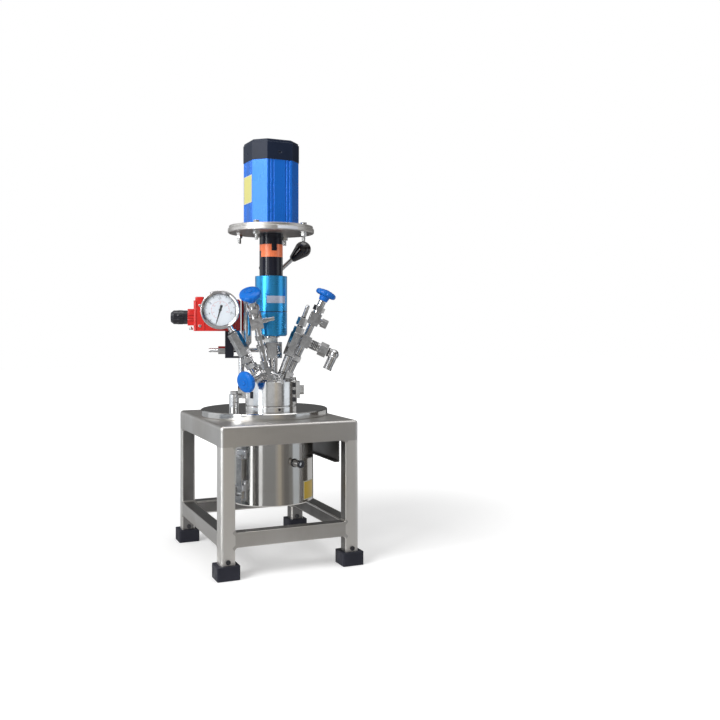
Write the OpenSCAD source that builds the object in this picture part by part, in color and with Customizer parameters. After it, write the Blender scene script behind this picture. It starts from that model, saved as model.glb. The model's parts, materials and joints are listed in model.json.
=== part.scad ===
// Bench bioreactor: a stirred, heated, closed vessel on a square-tube stand.
// Millimetres, +Z up. Origin on the floor, at the centre of the stand.

/* [Stand] */
// Width over the legs
stand_w = 248; // [230:1:280]
// Depth over the legs
stand_d = 306; // [290:1:340]
// Height of the stand's top surface
stand_h = 253; // [240:1:300]
// Side of the square tube
tube = 25; // [22:1:30]
// Wall of the square tube
tube_wall = 2; // [1.5:0.5:3]
// Height of the closed top frame
top_frame_h = 35; // [30:1:45]
// Thickness of the top sheet
top_sheet = 4; // [3:0.5:6]
// Height of the bottom rails' underside
bottom_rail_z = 51; // [40:1:80]
// Side of a foot block
foot_side = 39; // [34:1:46]
// Height of a foot block
foot_h = 23; // [16:1:30]
// Radius of the base disc
disc_r = 117.5; // [115:0.5:120]
// Thickness of the base disc
disc_t = 12; // [10:0.5:16]
// Sideways place of the base disc
disc_x = 3; // [0:0.5:5]
// Depth place of the base disc
disc_y = 8; // [5:0.5:12]

/* [Fasteners] */
// Head radius of the small screws
screw_head_r = 4; // [3.5:0.1:4.5]
// Head height of the small screws
screw_head_h = 2.4; // [2:0.1:3]
// Shank radius of the small screws
screw_r = 2; // [1.5:0.1:2.5]
// Shank length of the small screws
screw_l = 12; // [11:0.5:14]

/* [Vessel] */
// Sideways place of the stirring axis
axis_x = -2; // [-6:0.5:4]
// Depth place of the stirring axis
axis_y = -46.5; // [-50:0.5:-44]
// Turn of the head and its fittings about the axis
fit_turn = -18; // [-24:1:-12]
// Outer radius of the vessel
vessel_r = 40; // [38:0.5:41]
// Wall of the vessel
vessel_wall = 8; // [6:0.5:10]
// Depth of the vessel below its collar
vessel_depth = 140; // [130:1:145]
// Radius of the collar and the split ring
ring_r = 46.5; // [45:0.5:50]
// Height of the vessel's collar
collar_h = 11; // [9:0.5:14]
// Height of the split ring
ring_h = 44; // [42:0.5:46]
// Gap between the two halves of the ring
ring_gap = 1; // [0.6:0.1:2]
// Rise of the head above the ring
head_rise = 2; // [1:0.5:4]

/* [Heater] */
// Outer radius of the heater jacket
heater_r = 76; // [74:0.5:78]
// Height of the heater's underside
heater_z = 106; // [100:1:112]
// Sheet thickness of the heater jacket
heater_sheet = 1.5; // [1:0.1:2.5]
// Height of the lower shell of the heater
pan_h = 42; // [36:1:48]

/* [Magnetic drive] */
// Across-corner radius of the drive nut
nut_r = 19.6; // [18:0.2:22]
// Radius of the drive housing
drive_r = 28.8; // [27:0.2:30]
// Height of the drive housing
drive_h = 108; // [104:1:116]
// Radius of the two coupling hubs
hub_r = 21; // [20:0.5:23]
// Height of a coupling hub's plain part
hub_h = 33; // [30:0.5:36]
// Height of the coupling's jaw zone
jaw_h = 23; // [20:0.5:26]

/* [Motor] */
// Radius of the motor plate
plate_r = 77.5; // [74:0.5:80]
// Thickness of the motor plate
plate_t = 8; // [7:0.5:10]
// Side of the square motor body
motor_side = 88; // [84:1:90]
// Height of the motor body
motor_h = 114; // [100:0.5:125]
// Height of the motor's end cap
cap_h = 36; // [32:0.5:44]
// Turn of the motor about the axis
motor_turn = 2; // [0:1:8]
// Radius of the column behind the drive
column_r = 12.5; // [11:0.5:13]
// Distance from the stirring axis to the column
column_back = 63; // [62:0.5:66]
// Lift of the motor on its column
motor_lift = 50; // [30:1:55]

/* [Fittings] */
// Radius of the gauge case
gauge_r = 34; // [32:0.5:36]
// Lean of the gauge branch
gauge_lean = -28.6; // [-31:0.2:-27]
// Lean of the vent valve branch
vent_lean = 25; // [24:0.5:27]
// Lean of the thermowell
well_lean = 21; // [19:0.5:22]
// Radius of a valve handwheel
wheel_r = 19.3; // [18:0.1:20.5]
// Length of the coil box
coil_l = 83; // [78:1:86]
// Height of the coil box
coil_h = 55; // [50:1:58]
// Depth of the coil box
coil_d = 44; // [38:1:48]

/* [Hidden] */
$fn = 64;
eps = 0.01;              // small overshoot of a cut
fit = 0.05;              // radial running clearance
slip = 0.15;             // clearance of a loose seat

// heights along the axis
leg_z = foot_h;
rail_z = stand_h - top_frame_h;
sheet_z = stand_h - top_sheet;
disc_top = stand_h + disc_t;
collar_top = disc_top + collar_h;
ring_top = collar_top + ring_h;
head_top = ring_top + head_rise;
stub_h = 38;
nut_h = 29;
neck_h = 11;
nut_z = head_top + stub_h;
drive_z = nut_z + nut_h + neck_h;
drive_top = drive_z + drive_h;
jaw_z = drive_top + hub_h + 1;
upper_z = jaw_z + jaw_h;
upper_hub_h = 20;
plate_z = upper_z + upper_hub_h;
plate_gap = 0.6;         // from the upper hub to the plate
motor_z = plate_z + plate_t;
foot_flange_t = 5;
motor_pilot_r = 30;
cap_z = motor_z + foot_flange_t + motor_h;

// radii and seats
tube_r = 3;
leg_x = (stand_w - tube) / 2;
leg_y = (stand_d - tube) / 2;
lip_r = vessel_r;
neck_r = vessel_r - 4;
lip_t = 8;
lip_z = collar_top + 8;
gasket_t = 1.5;
head_z = lip_z + lip_t;
head_t = 15;
head_boss_r = neck_r - 0.3;
shaft_r = 5;
can_r = 15.4;
neck_out_r = 10.5;
neck_flange_r = 15;
neck_flange_t = 2.5;
stub_r = 8.5;
rotor_shaft_r = 7;
drive_shaft_r = 8;
drive_bearing_r = 14;
drive_bearing_h = 12;

module at_axis() translate([axis_x, axis_y, 0]) children();
module on_head() at_axis() rotate([0, 0, fit_turn]) children();
module at_legs() for (sx = [-1, 1], sy = [-1, 1]) translate([sx * leg_x, sy * leg_y, 0]) children();

// square with rounded corners
module round_square(w, d, r) {
    square([w - 2 * r, d], center = true);
    square([w, d - 2 * r], center = true);
    for (sx = [-1, 1], sy = [-1, 1]) translate([sx * (w / 2 - r), sy * (d / 2 - r)]) circle(r);
}
module bar(w, d, h, r) linear_extrude(h) round_square(w, d, r);
module hex(af, h) cylinder(r = af / 2 / cos(30), h = h, $fn = 6);
module ring(r_out, r_in, h) difference() {
    cylinder(r = r_out, h = h);
    translate([0, 0, -1]) cylinder(r = r_in, h = h + 2);
}

// ---- stand ----
foot_screw_z = foot_h + 6;
heater_flange_t = 3;
heater_screw_r = heater_r + 7;
disc_screw_x = 80;
disc_screw_y = 82;
column_flange_r = 16;
column_flange_t = 6;
module foot_screw_places() for (sx = [-1, 1], sy = [-1, 1])
    translate([sx * leg_x, sy * leg_y - tube / 2, foot_screw_z]) rotate([-90, 0, 0]) children();
module heater_screw_places() at_axis() for (a = [0, 90, 180]) rotate([0, 0, a])
    translate([heater_screw_r, 0, sheet_z - heater_flange_t]) children();
module disc_screw_places() for (sx = [-1, 1]) translate([sx * disc_screw_x, disc_screw_y, sheet_z]) children();
// head below the origin, shank above
module small_screw() {
    translate([0, 0, -screw_head_h]) cylinder(r = screw_head_r, h = screw_head_h);
    cylinder(r = screw_r, h = screw_l);
}
module screw_hole() translate([0, 0, -1]) cylinder(r = screw_r + fit, h = screw_l + 1.5);

module rails(z, h, w) {
    for (sx = [-1, 1]) translate([sx * leg_x, 0, z]) linear_extrude(h) square([w, stand_d - tube], center = true);
    for (sy = [-1, 1]) translate([0, sy * leg_y, z]) linear_extrude(h) square([stand_w - tube, w], center = true);
}
module stand_frame() color([0.62, 0.60, 0.57]) {
    inner = tube - 2 * tube_wall;
    difference() {
        union() {
            at_legs() translate([0, 0, leg_z]) bar(tube, tube, rail_z + 1 - leg_z, tube_r);
            rails(bottom_rail_z, tube, tube);
            difference() {
                translate([0, 0, rail_z]) bar(stand_w, stand_d, top_frame_h, tube_r);
                translate([0, 0, rail_z - 1])
                    bar(stand_w - 2 * tube, stand_d - 2 * tube, top_frame_h - top_sheet + 1, tube_r);
            }
        }
        at_legs() translate([0, 0, leg_z - 1]) linear_extrude(sheet_z - leg_z + 1) square(inner, center = true);
        rails(bottom_rail_z + tube_wall, inner, inner);
        rails(rail_z + tube_wall, top_frame_h - top_sheet - tube_wall, inner);
        at_axis() translate([0, 0, sheet_z - 1]) cylinder(r = vessel_r + 4, h = top_sheet + 2);
        foot_screw_places() translate([0, 0, -1]) cylinder(r = screw_r + fit, h = tube_wall + 2);
        heater_screw_places() screw_hole();
        disc_screw_places() screw_hole();
    }
}
module feet() color([0.13, 0.13, 0.17]) {
    plug = tube - 2 * tube_wall - 2 * slip;
    difference() {
        at_legs() {
            bar(foot_side, foot_side, foot_h, 3);
            translate([0, 0, foot_h - eps]) linear_extrude(18) square(plug, center = true);
        }
        foot_screw_places() cylinder(r = screw_r, h = screw_l);
    }
}
module stand_screws() color([0.08, 0.08, 0.09]) {
    foot_screw_places() small_screw();
    heater_screw_places() small_screw();
    disc_screw_places() small_screw();
}
column_spigot_r = 8;
module base_disc() color([0.72, 0.71, 0.70]) difference() {
    translate([disc_x, disc_y, stand_h]) rotate_extrude() polygon([[0, 0], [disc_r - 1, 0], [disc_r, 1],
        [disc_r, disc_t - 1.5], [disc_r - 1.5, disc_t], [0, disc_t]]);
    at_axis() translate([0, 0, stand_h - 1]) cylinder(r = vessel_r + fit, h = disc_t + 2);
    on_head() translate([0, column_back, stand_h + 2]) cylinder(r = column_spigot_r + fit, h = disc_t);
    heater_screw_places() screw_hole();
    disc_screw_places() screw_hole();
}

// ---- vessel, head and split ring ----
vessel_bottom = disc_top - vessel_depth;
ring_edge = 1.6;          // bevel on each side of the joint
module vessel() color([0.66, 0.65, 0.63]) at_axis() difference() {
    union() {
        translate([0, 0, vessel_bottom]) rotate_extrude() polygon([[0, 0], [vessel_r - 8, 0],
            [vessel_r - 2, 4], [vessel_r, 12], [vessel_r, vessel_depth + 1], [0, vessel_depth + 1]]);
        translate([0, 0, disc_top]) rotate_extrude() polygon([[0, 0], [ring_r, 0],
            [ring_r, collar_h - ring_edge], [ring_r - ring_edge, collar_h], [0, collar_h]]);
        translate([0, 0, collar_top - 1]) cylinder(r = neck_r, h = lip_z - collar_top + 2);
        translate([0, 0, lip_z]) cylinder(r = lip_r, h = lip_t);
    }
    translate([0, 0, vessel_bottom + 10]) cylinder(r = vessel_r - vessel_wall, h = 400);
    translate([0, 0, head_z - gasket_t]) cylinder(r = vessel_r - 4, h = 10);
}
gasket_in = vessel_r - vessel_wall + 1;
module head_gasket() color([0.93, 0.93, 0.9]) at_axis()
    translate([0, 0, head_z - gasket_t]) ring(vessel_r - 4 - slip, gasket_in, gasket_t);

// ports in the head: [x, y] from the axis, in the head's own turn
gauge_foot = [-22, -12];
stack_foot = [-4, -28];
vent_foot = [28, 12];
well_foot = [15, -20];
filter_foot = [-26, 16];
water_foot = [-11, 25];
return_foot = [3, 25];
port_r = 3;
module head() color([0.60, 0.59, 0.57]) on_head() difference() {
    union() {
        translate([0, 0, head_z]) cylinder(r = lip_r, h = head_t);
        translate([0, 0, head_z]) cylinder(r = head_boss_r, h = head_top - head_z);
    }
    translate([0, 0, head_z - 1]) cylinder(r = shaft_r + 2, h = 60);
    for (p = [gauge_foot, stack_foot, vent_foot, filter_foot])
        translate([p[0], p[1], head_z - 1]) cylinder(r = port_r, h = 60);
    for (p = [well_foot, water_foot, return_foot])
        translate([p[0], p[1], head_z - 1]) cylinder(r = port_r + fit, h = 60);
}

tab_x = ring_r - 2;
tab_t = 7;
tab_w = 12;
tab_z = collar_top + 12;
tab_h = 30;
tab_bolt_y = 6;
tab_bolt_z = collar_top + 26;
tab_bolt_r = 3;
top_bolt_r = 41;
top_bolt_shank_r = 2.5;
head_flange_top = head_z + head_t;
module top_bolt_places() for (a = [-10 : 60 : 290]) rotate([0, 0, a])
    translate([top_bolt_r, 0, ring_top]) children();
module tab_bolt_places() for (a = [0, 180]) rotate([0, 0, a])
    translate([tab_x + tab_t, tab_bolt_y, tab_bolt_z]) rotate([0, 90, 0]) children();
// the front half; the rear one is the same piece turned half a turn.
// Its tab laps over a flat on the other half.
module ring_half() difference() {
    union() {
        difference() {
            translate([0, 0, collar_top]) rotate_extrude() polygon([[0, 0], [ring_r - ring_edge, 0],
                [ring_r, ring_edge], [ring_r, ring_h - 1], [ring_r - 1, ring_h], [0, ring_h]]);
            translate([0, 0, collar_top - 1]) cylinder(r = neck_r + slip, h = ring_h + 2);
            translate([0, 0, lip_z]) cylinder(r = lip_r + slip, h = head_flange_top - lip_z + slip);
            translate([-100, -ring_gap / 2, 0]) cube([200, 200, 1000]);
            for (s = [-1, 1]) translate([s > 0 ? tab_x : -tab_x - 20, -tab_w - slip, tab_z - slip])
                cube([20, 2 * tab_w, tab_h + 2 * slip]);
        }
        translate([tab_x, -tab_w, tab_z]) cube([tab_t, 2 * tab_w, tab_h]);
        translate([tab_x - 2, -tab_w, tab_z]) cube([3, tab_w - ring_gap / 2, tab_h]);
    }
    top_bolt_places() translate([0, 0, -20]) cylinder(r = top_bolt_shank_r, h = 30);
    tab_bolt_places() translate([0, 0, -tab_t - 4]) cylinder(r = tab_bolt_r, h = 20);
}
module ring_front() color([0.70, 0.69, 0.68]) on_head() ring_half();
module ring_rear() color([0.70, 0.69, 0.68]) on_head() rotate([0, 0, 180]) ring_half();
module ring_bolts() color([0.5, 0.49, 0.48]) on_head() {
    top_bolt_places() {
        hex(8, 5.5);
        translate([0, 0, head_flange_top - ring_top]) cylinder(r = top_bolt_shank_r, h = ring_top - head_flange_top);
    }
    tab_bolt_places() {
        hex(15, 8);
        translate([0, 0, -tab_t - 3]) cylinder(r = tab_bolt_r, h = tab_t + 3);
    }
}

// ---- heater ----
heater_top = sheet_z;
pan_top = heater_z + pan_h;
liner_in = vessel_r + 0.4;
liner_wall = 4;
insulation_in = liner_in + liner_wall + slip;
insulation_out = heater_r - heater_sheet - slip;
latch_turn = -132;       // direction of the draw latch, from +X
socket_turn = -58;       // direction of the sensor socket
socket_z = heater_z + 74;
socket_r = 6.5;
probe_r = 2;
socket_out = 20;
probe_in = liner_in - heater_r + heater_sheet;
module heater_jacket() color([0.70, 0.69, 0.67]) difference() {
    union() {
        at_axis() translate([0, 0, pan_top]) ring(heater_r, heater_r - heater_sheet, heater_top - pan_top);
        intersection() {
            at_axis() translate([0, 0, heater_top - heater_flange_t])
                ring(heater_r + 12, heater_r - heater_sheet, heater_flange_t);
            bar(stand_w - 2 * tube - 1, stand_d - 2 * tube - 1, stand_h, tube_r);
        }
    }
    heater_screw_places() translate([0, 0, -1]) cylinder(r = screw_r + fit, h = 20);
    at_socket() translate([0, 0, -6]) cylinder(r = socket_r + fit, h = 12);
}
module heater_pan() color([0.68, 0.67, 0.65]) at_axis() translate([0, 0, heater_z]) difference() {
    rotate_extrude() polygon([[0, 0], [heater_r - 2, 0], [heater_r, 2], [heater_r, pan_h], [0, pan_h]]);
    translate([0, 0, heater_sheet]) cylinder(r = heater_r - heater_sheet, h = pan_h);
}
module heater_insulation() color([0.86, 0.84, 0.78]) difference() {
    at_axis() translate([0, 0, heater_z + heater_sheet])
        ring(insulation_out, insulation_in, heater_top - heater_z - heater_sheet);
    at_socket() translate([0, 0, probe_in]) cylinder(r = socket_r + slip, h = socket_out - probe_in);
}
module heater_liner() color([0.75, 0.76, 0.78]) difference() {
    at_axis() difference() {
        translate([0, 0, heater_z + heater_sheet])
            cylinder(r = liner_in + liner_wall, h = heater_top - heater_z - heater_sheet);
        translate([0, 0, vessel_bottom]) cylinder(r = liner_in, h = 400);
    }
    at_socket() translate([0, 0, probe_in - probe_r]) cylinder(r = probe_r + fit, h = socket_out - probe_in);
}
module at_socket() on_head() rotate([0, 0, socket_turn]) translate([heater_r - heater_sheet, 0, socket_z])
    rotate([0, 90, 0]) children();
module heater_socket() color([0.35, 0.35, 0.36]) at_socket() {
    translate([0, 0, -8]) cylinder(r = socket_r, h = socket_out + 8);
    translate([0, 0, probe_in + 1]) cylinder(r = probe_r, h = -probe_in);
}

// draw latch: keeper and base on the two shells, lever and bail between them.
// In the latch's own frame x is radial, y tangential.
latch_w = 21;
latch_plate_t = 2;
latch_pivot_r = heater_r + 5;
latch_pivot_z = heater_z + 32;
bail_pivot_r = heater_r + 6.5;
bail_pivot_z = latch_pivot_z - 10;
lever_z = heater_z + 6;
keeper_z = heater_z + 82;
keeper_h = 16;
shelf_h = 3;
latch_pin_r = 1.5;
cheek_t = 2;
lever_w = latch_w - 4.4;
bail_w = lever_w - 2 * cheek_t - 0.6;
bail_t = 2;
web_r = heater_r + 9;
web_t = 1.5;
web_top = bail_pivot_z - 4;
cheek_end_r = 2.4;
module at_latch() on_head() rotate([0, 0, latch_turn]) children();
// a riveted plate that follows the round jacket
module latch_foot(z, h) difference() {
    translate([heater_r - 4, -latch_w / 2, z]) cube([4 + latch_plate_t, latch_w, h]);
    translate([0, 0, z - 1]) cylinder(r = heater_r + slip, h = h + 2, $fn = 256);
}
module cross_pin(r, z, y, l, pin_r) translate([r, y + l / 2, z]) rotate([90, 0, 0])
    cylinder(r = pin_r, h = l);
module latch_plates() color([0.55, 0.55, 0.56]) at_latch() {
    latch_foot(lever_z + 4, 34);
    for (s = [-1, 1]) {
        translate([heater_r + latch_plate_t - 0.5, s * (latch_w / 2 - 1) - 1, latch_pivot_z - 5])
            cube([latch_pivot_r - heater_r + 2, 2, 10]);
        cross_pin(latch_pivot_r, latch_pivot_z, s * (latch_w / 2 - 2), 4, latch_pin_r);
    }
    latch_foot(keeper_z, keeper_h);
    translate([heater_r + latch_plate_t - 0.5, -bail_w / 2 + 3, keeper_z + 3])
        cube([7, bail_w - 6, shelf_h]);
}
module latch_lever() color([0.60, 0.60, 0.61]) at_latch() difference() {
    union() {
        for (s = [-1, 1]) {
            translate([heater_r + latch_plate_t + 0.4, s * (lever_w - cheek_t) / 2 - cheek_t / 2, web_top - 4])
                cube([web_r - heater_r - latch_plate_t, cheek_t, latch_pivot_z + 4 - web_top]);
            cross_pin(latch_pivot_r, latch_pivot_z, s * (lever_w - cheek_t) / 2, cheek_t, cheek_end_r);
        }
        translate([web_r, -lever_w / 2, lever_z]) cube([web_t, lever_w, web_top - lever_z]);
    }
    cross_pin(latch_pivot_r, latch_pivot_z, 0, 40, latch_pin_r + fit);
    cross_pin(bail_pivot_r, bail_pivot_z, 0, 40, latch_pin_r + fit);
}
module latch_bail() color([0.66, 0.66, 0.67]) at_latch() {
    difference() {
        translate([bail_pivot_r - bail_t / 2, -bail_w / 2, bail_pivot_z - 2.5])
            cube([bail_t, bail_w, keeper_z + 10 - bail_pivot_z]);
        translate([bail_pivot_r - 5, -bail_w / 2 + 2, keeper_z + 1]) cube([10, bail_w - 4, shelf_h + 2.2]);
    }
    cross_pin(bail_pivot_r, bail_pivot_z, 0, lever_w - 0.4, latch_pin_r);
}

// ---- magnetic drive ----
can_top = drive_z + 82;
can_wall = 2.4;
housing_wall = 3;
cup_wall = 5;
cup_in = can_r + 0.8;
cup_out = drive_r - housing_wall - 1;
cup_z = drive_z + 12;
cup_h = 78;
bearing_seat_z = drive_top - drive_bearing_h - 3;
bush_r = 8;
bush_h = 12;
bush_z = nut_z + 4;
groove_h = 42;
groove_z = drive_z + groove_h;
hub_bore_l = 26;
module drive_neck() color([0.60, 0.59, 0.57]) on_head() difference() {
    union() {
        translate([0, 0, head_top]) cylinder(r = stub_r, h = stub_h);
        translate([0, 0, nut_z]) cylinder(r = nut_r, h = nut_h, $fn = 6);
        translate([0, 0, nut_z + nut_h]) cylinder(r = neck_out_r, h = neck_h);
        translate([0, 0, drive_z - neck_flange_t]) cylinder(r = neck_flange_r, h = neck_flange_t);
        translate([0, 0, drive_z]) cylinder(r = can_r, h = can_top - drive_z);
    }
    translate([0, 0, head_top - 1]) cylinder(r = shaft_r + 2, h = drive_z - head_top + 2);
    translate([0, 0, bush_z]) cylinder(r = bush_r, h = drive_z + 3 - bush_z);
    translate([0, 0, drive_z + 2]) cylinder(r = can_r - can_wall, h = can_top - drive_z - 4);
}
module drive_housing() color([0.16, 0.45, 0.70]) at_axis() difference() {
    translate([0, 0, drive_z]) rotate_extrude() polygon([[0, 0], [drive_r - 2.5, 0], [drive_r, 2.5],
        [drive_r, groove_z - drive_z - 0.8], [drive_r - 0.8, groove_z - drive_z],
        [drive_r, groove_z - drive_z + 0.8], [drive_r, drive_h - 0.6], [drive_r - 0.6, drive_h], [0, drive_h]]);
    translate([0, 0, drive_z + 8]) cylinder(r = drive_r - housing_wall, h = bearing_seat_z - drive_z - 10);
    translate([0, 0, drive_z - 1]) cylinder(r = can_r + fit, h = 20);
    translate([0, 0, bearing_seat_z - 3]) cylinder(r = drive_bearing_r, h = drive_bearing_h + 3);
    translate([0, 0, bearing_seat_z]) cylinder(r = drive_shaft_r + 2, h = 40);
}
module drive_bearings() color([0.75, 0.76, 0.78]) at_axis() {
    translate([0, 0, bearing_seat_z]) ring(drive_bearing_r, drive_shaft_r + fit, drive_bearing_h);
    translate([0, 0, bush_z]) ring(bush_r, shaft_r + fit, bush_h);
}
module drive_rotor() color([0.70, 0.70, 0.72]) at_axis() difference() {
    union() {
        translate([0, 0, cup_z]) cylinder(r = cup_out, h = cup_h);
        translate([0, 0, cup_z + cup_h - 1]) cylinder(r = drive_shaft_r + 1.5, h = bearing_seat_z - cup_z - cup_h + 1);
        translate([0, 0, cup_z + cup_h - 1]) cylinder(r = drive_shaft_r, h = drive_top + hub_bore_l - cup_z - cup_h + 1);
    }
    translate([0, 0, cup_z - 1]) cylinder(r = cup_in, h = can_top + 1.5 - cup_z);
}
impeller_z = vessel_bottom + 22;
impeller_h = 14;
follower_z = drive_z + 8;
module agitator_shaft() color([0.70, 0.69, 0.67]) at_axis() {
    translate([0, 0, impeller_z]) cylinder(r = shaft_r, h = follower_z + 1 - impeller_z);
    translate([0, 0, follower_z]) cylinder(r = can_r - can_wall - 0.5, h = can_top - 8 - follower_z);
}
module impeller() color([0.68, 0.67, 0.65]) at_axis() difference() {
    union() {
        translate([0, 0, impeller_z]) cylinder(r = shaft_r + 4, h = impeller_h);
        for (a = [0 : 90 : 270]) rotate([0, 0, a]) translate([shaft_r + 3, 0, impeller_z + impeller_h / 2])
            rotate([45, 0, 0]) translate([0, -1, -6]) cube([12, 2, 12]);
    }
    translate([0, 0, impeller_z - 20]) cylinder(r = shaft_r, h = 60);
}

// ---- jaw coupling ----
spider_leg = 11.5;
jaw_clear = 0.3;
jaw_clear_deg = 3;
jaw_count = 2;
jaw_deg = 25;
jaw_turn = -74;          // direction of the first upper jaw
jaw_bore_r = 8.5;
jaw_recess = 2;
// a wedge from the axis outwards, wider than the hubs
module wedge(deg, h) linear_extrude(h)
    polygon([[0, 0], [50 * cos(deg / 2), -50 * sin(deg / 2)], [50, 0], [50 * cos(deg / 2), 50 * sin(deg / 2)]]);
module wedges(turn, deg, z, h) for (i = [0 : jaw_count - 1]) rotate([0, 0, turn + i * 360 / jaw_count])
    translate([0, 0, z]) wedge(deg, h);
lower_turn = jaw_turn + 180 / jaw_count;
gap_deg = 360 / jaw_count - jaw_deg;
module lower_hub() color([0.07, 0.07, 0.09]) on_head() difference() {
    translate([0, 0, drive_top + 1]) cylinder(r = hub_r, h = hub_h + spider_leg);
    wedges(jaw_turn, gap_deg, jaw_z, 40);
    translate([0, 0, jaw_z - jaw_recess]) cylinder(r = jaw_bore_r, h = 40);
    translate([0, 0, drive_top - 1]) cylinder(r = drive_shaft_r, h = hub_bore_l + 1);
}
module spider() color([0.92, 0.40, 0.22]) on_head() difference() {
    translate([0, 0, jaw_z + slip]) ring(hub_r - 0.1, jaw_bore_r, jaw_h - 2 * slip);
    wedges(jaw_turn, jaw_deg + jaw_clear_deg, jaw_z + jaw_h - spider_leg - jaw_clear, 40);
    wedges(lower_turn, jaw_deg + jaw_clear_deg, jaw_z - 20, 20 + spider_leg + jaw_clear);
}
module upper_hub() color([0.07, 0.07, 0.09]) on_head() difference() {
    translate([0, 0, upper_z - spider_leg]) cylinder(r = hub_r, h = upper_hub_h - plate_gap + spider_leg);
    wedges(lower_turn, gap_deg, upper_z - 40, 40);
    translate([0, 0, upper_z - 40]) cylinder(r = jaw_bore_r, h = 40 + jaw_recess);
    translate([0, 0, upper_z]) cylinder(r = rotor_shaft_r, h = 60);
}

// ---- motor ----
bolt_pcd_r = 63;
plate_bolt_turn = -114;
plate_bolt_r = 3;
plate_bolt_l = 34;
motor_bore_r = 31;
motor_floor = 12;
motor_bearing_r = 13;
motor_bearing_h = 9;
carrier_r = 19;
carrier_z = drive_z + 70;
module at_column() on_head() translate([0, column_back, 0]) children();
module plate_bolt_places() on_head() for (a = [0 : 90 : 270]) rotate([0, 0, plate_bolt_turn + a])
    translate([bolt_pcd_r, 0, motor_z + foot_flange_t]) children();
module motor_plate() color([0.62, 0.61, 0.60]) difference() {
    on_head() translate([0, 0, plate_z]) rotate_extrude() polygon([[0, 0], [plate_r - 1.5, 0],
        [plate_r, 1.5], [plate_r, plate_t - 0.5], [plate_r - 0.5, plate_t], [plate_r - 2, plate_t],
        [plate_r - 2, plate_t + foot_flange_t - 0.5], [plate_r - 2.5, plate_t + foot_flange_t],
        [0, plate_t + foot_flange_t]]);
    at_axis() translate([0, 0, plate_z - 1]) cylinder(r = rotor_shaft_r + 4, h = plate_t + 2);
    at_axis() translate([0, 0, motor_z]) cylinder(r = motor_pilot_r + slip, h = foot_flange_t + 1);
    plate_bolt_places() translate([0, 0, -40]) cylinder(r = plate_bolt_r + fit, h = 60);
}
module motor_fasteners() color([0.75, 0.74, 0.72]) plate_bolt_places() {
    cylinder(r = 5.5, h = 5);
    translate([0, 0, 5 - plate_bolt_l]) cylinder(r = plate_bolt_r, h = plate_bolt_l - 5 + eps);
    translate([0, 0, -foot_flange_t - plate_t - 6]) hex(10, 6);
}
corner_cut = 0.235;        // share of the motor's side that each corner loses
// square with its corners cut at 45 degrees
module cut_square(side) {
    reach = side / 2;
    flat = reach - side * corner_cut;
    polygon([[reach, -flat], [reach, flat], [flat, reach], [-flat, reach],
        [-reach, flat], [-reach, -flat], [-flat, -reach], [flat, -reach]]);
}
// the ribbed section of the motor body
module motor_section() difference() {
    cut_square(motor_side);
    for (a = [0 : 90 : 270]) rotate(a) for (s = [-1, 1], k = [0, 1])
        translate([motor_side / 2 + 0.4, s * (motor_side * 0.135 + 6 * k)]) circle(r = 1.7);
}
module motor_body() color([0.12, 0.36, 0.76]) difference() {
    union() {
        at_axis() translate([0, 0, motor_z]) cylinder(r = motor_pilot_r, h = foot_flange_t + 1);
        at_axis() rotate([0, 0, motor_turn]) translate([0, 0, motor_z + foot_flange_t])
            linear_extrude(motor_h) motor_section();
    }
    at_axis() translate([0, 0, motor_z + motor_floor]) cylinder(r = motor_bore_r, h = 400);
    at_axis() translate([0, 0, motor_z + motor_floor - motor_bearing_h]) cylinder(r = motor_bearing_r, h = 400);
    at_axis() translate([0, 0, motor_z - 1]) cylinder(r = rotor_shaft_r + 2, h = 400);
}
cap_side = motor_side + 1.4;
cap_wall = 4;
cap_bearing_z = cap_z + 8;
module motor_cap() color([0.07, 0.08, 0.11]) at_axis() rotate([0, 0, motor_turn]) difference() {
    union() {
        translate([0, 0, cap_z]) linear_extrude(cap_h - 5) cut_square(cap_side);
        translate([0, 0, cap_z + cap_h - 5 - eps]) linear_extrude(3.5 + eps) cut_square(cap_side - 2.6);
        translate([0, 0, cap_z + cap_h - 1.5 - eps]) linear_extrude(1.5 + eps) cut_square(cap_side - 7);
    }
    translate([0, 0, cap_z - 1]) cylinder(r = motor_bore_r, h = 4);
    translate([0, 0, cap_z - 1]) cylinder(r = motor_bearing_r, h = cap_bearing_z + motor_bearing_h - cap_z + 1);
    translate([0, 0, cap_z - 1]) cylinder(r = rotor_shaft_r + 1, h = 26);
    for (a = [0, 180]) rotate([0, 0, a]) for (b = [0, 90]) rotate([0, 0, b])
        translate([cap_side / 2 - 1.5, -3, cap_z + 12]) cube([3, 6, 2.5]);
}
module motor_rotor() color([0.55, 0.55, 0.57]) at_axis() {
    translate([0, 0, upper_z + 2]) cylinder(r = rotor_shaft_r, h = cap_z + 20 - upper_z - 2);
    translate([0, 0, motor_z + motor_floor + 6]) cylinder(r = motor_bore_r - 3, h = motor_h - 24);
}
module motor_bearings() color([0.75, 0.76, 0.78]) at_axis() {
    translate([0, 0, motor_z + motor_floor - motor_bearing_h])
        ring(motor_bearing_r, rotor_shaft_r + fit, motor_bearing_h);
    translate([0, 0, cap_bearing_z]) ring(motor_bearing_r, rotor_shaft_r + fit, motor_bearing_h);
}

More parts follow.
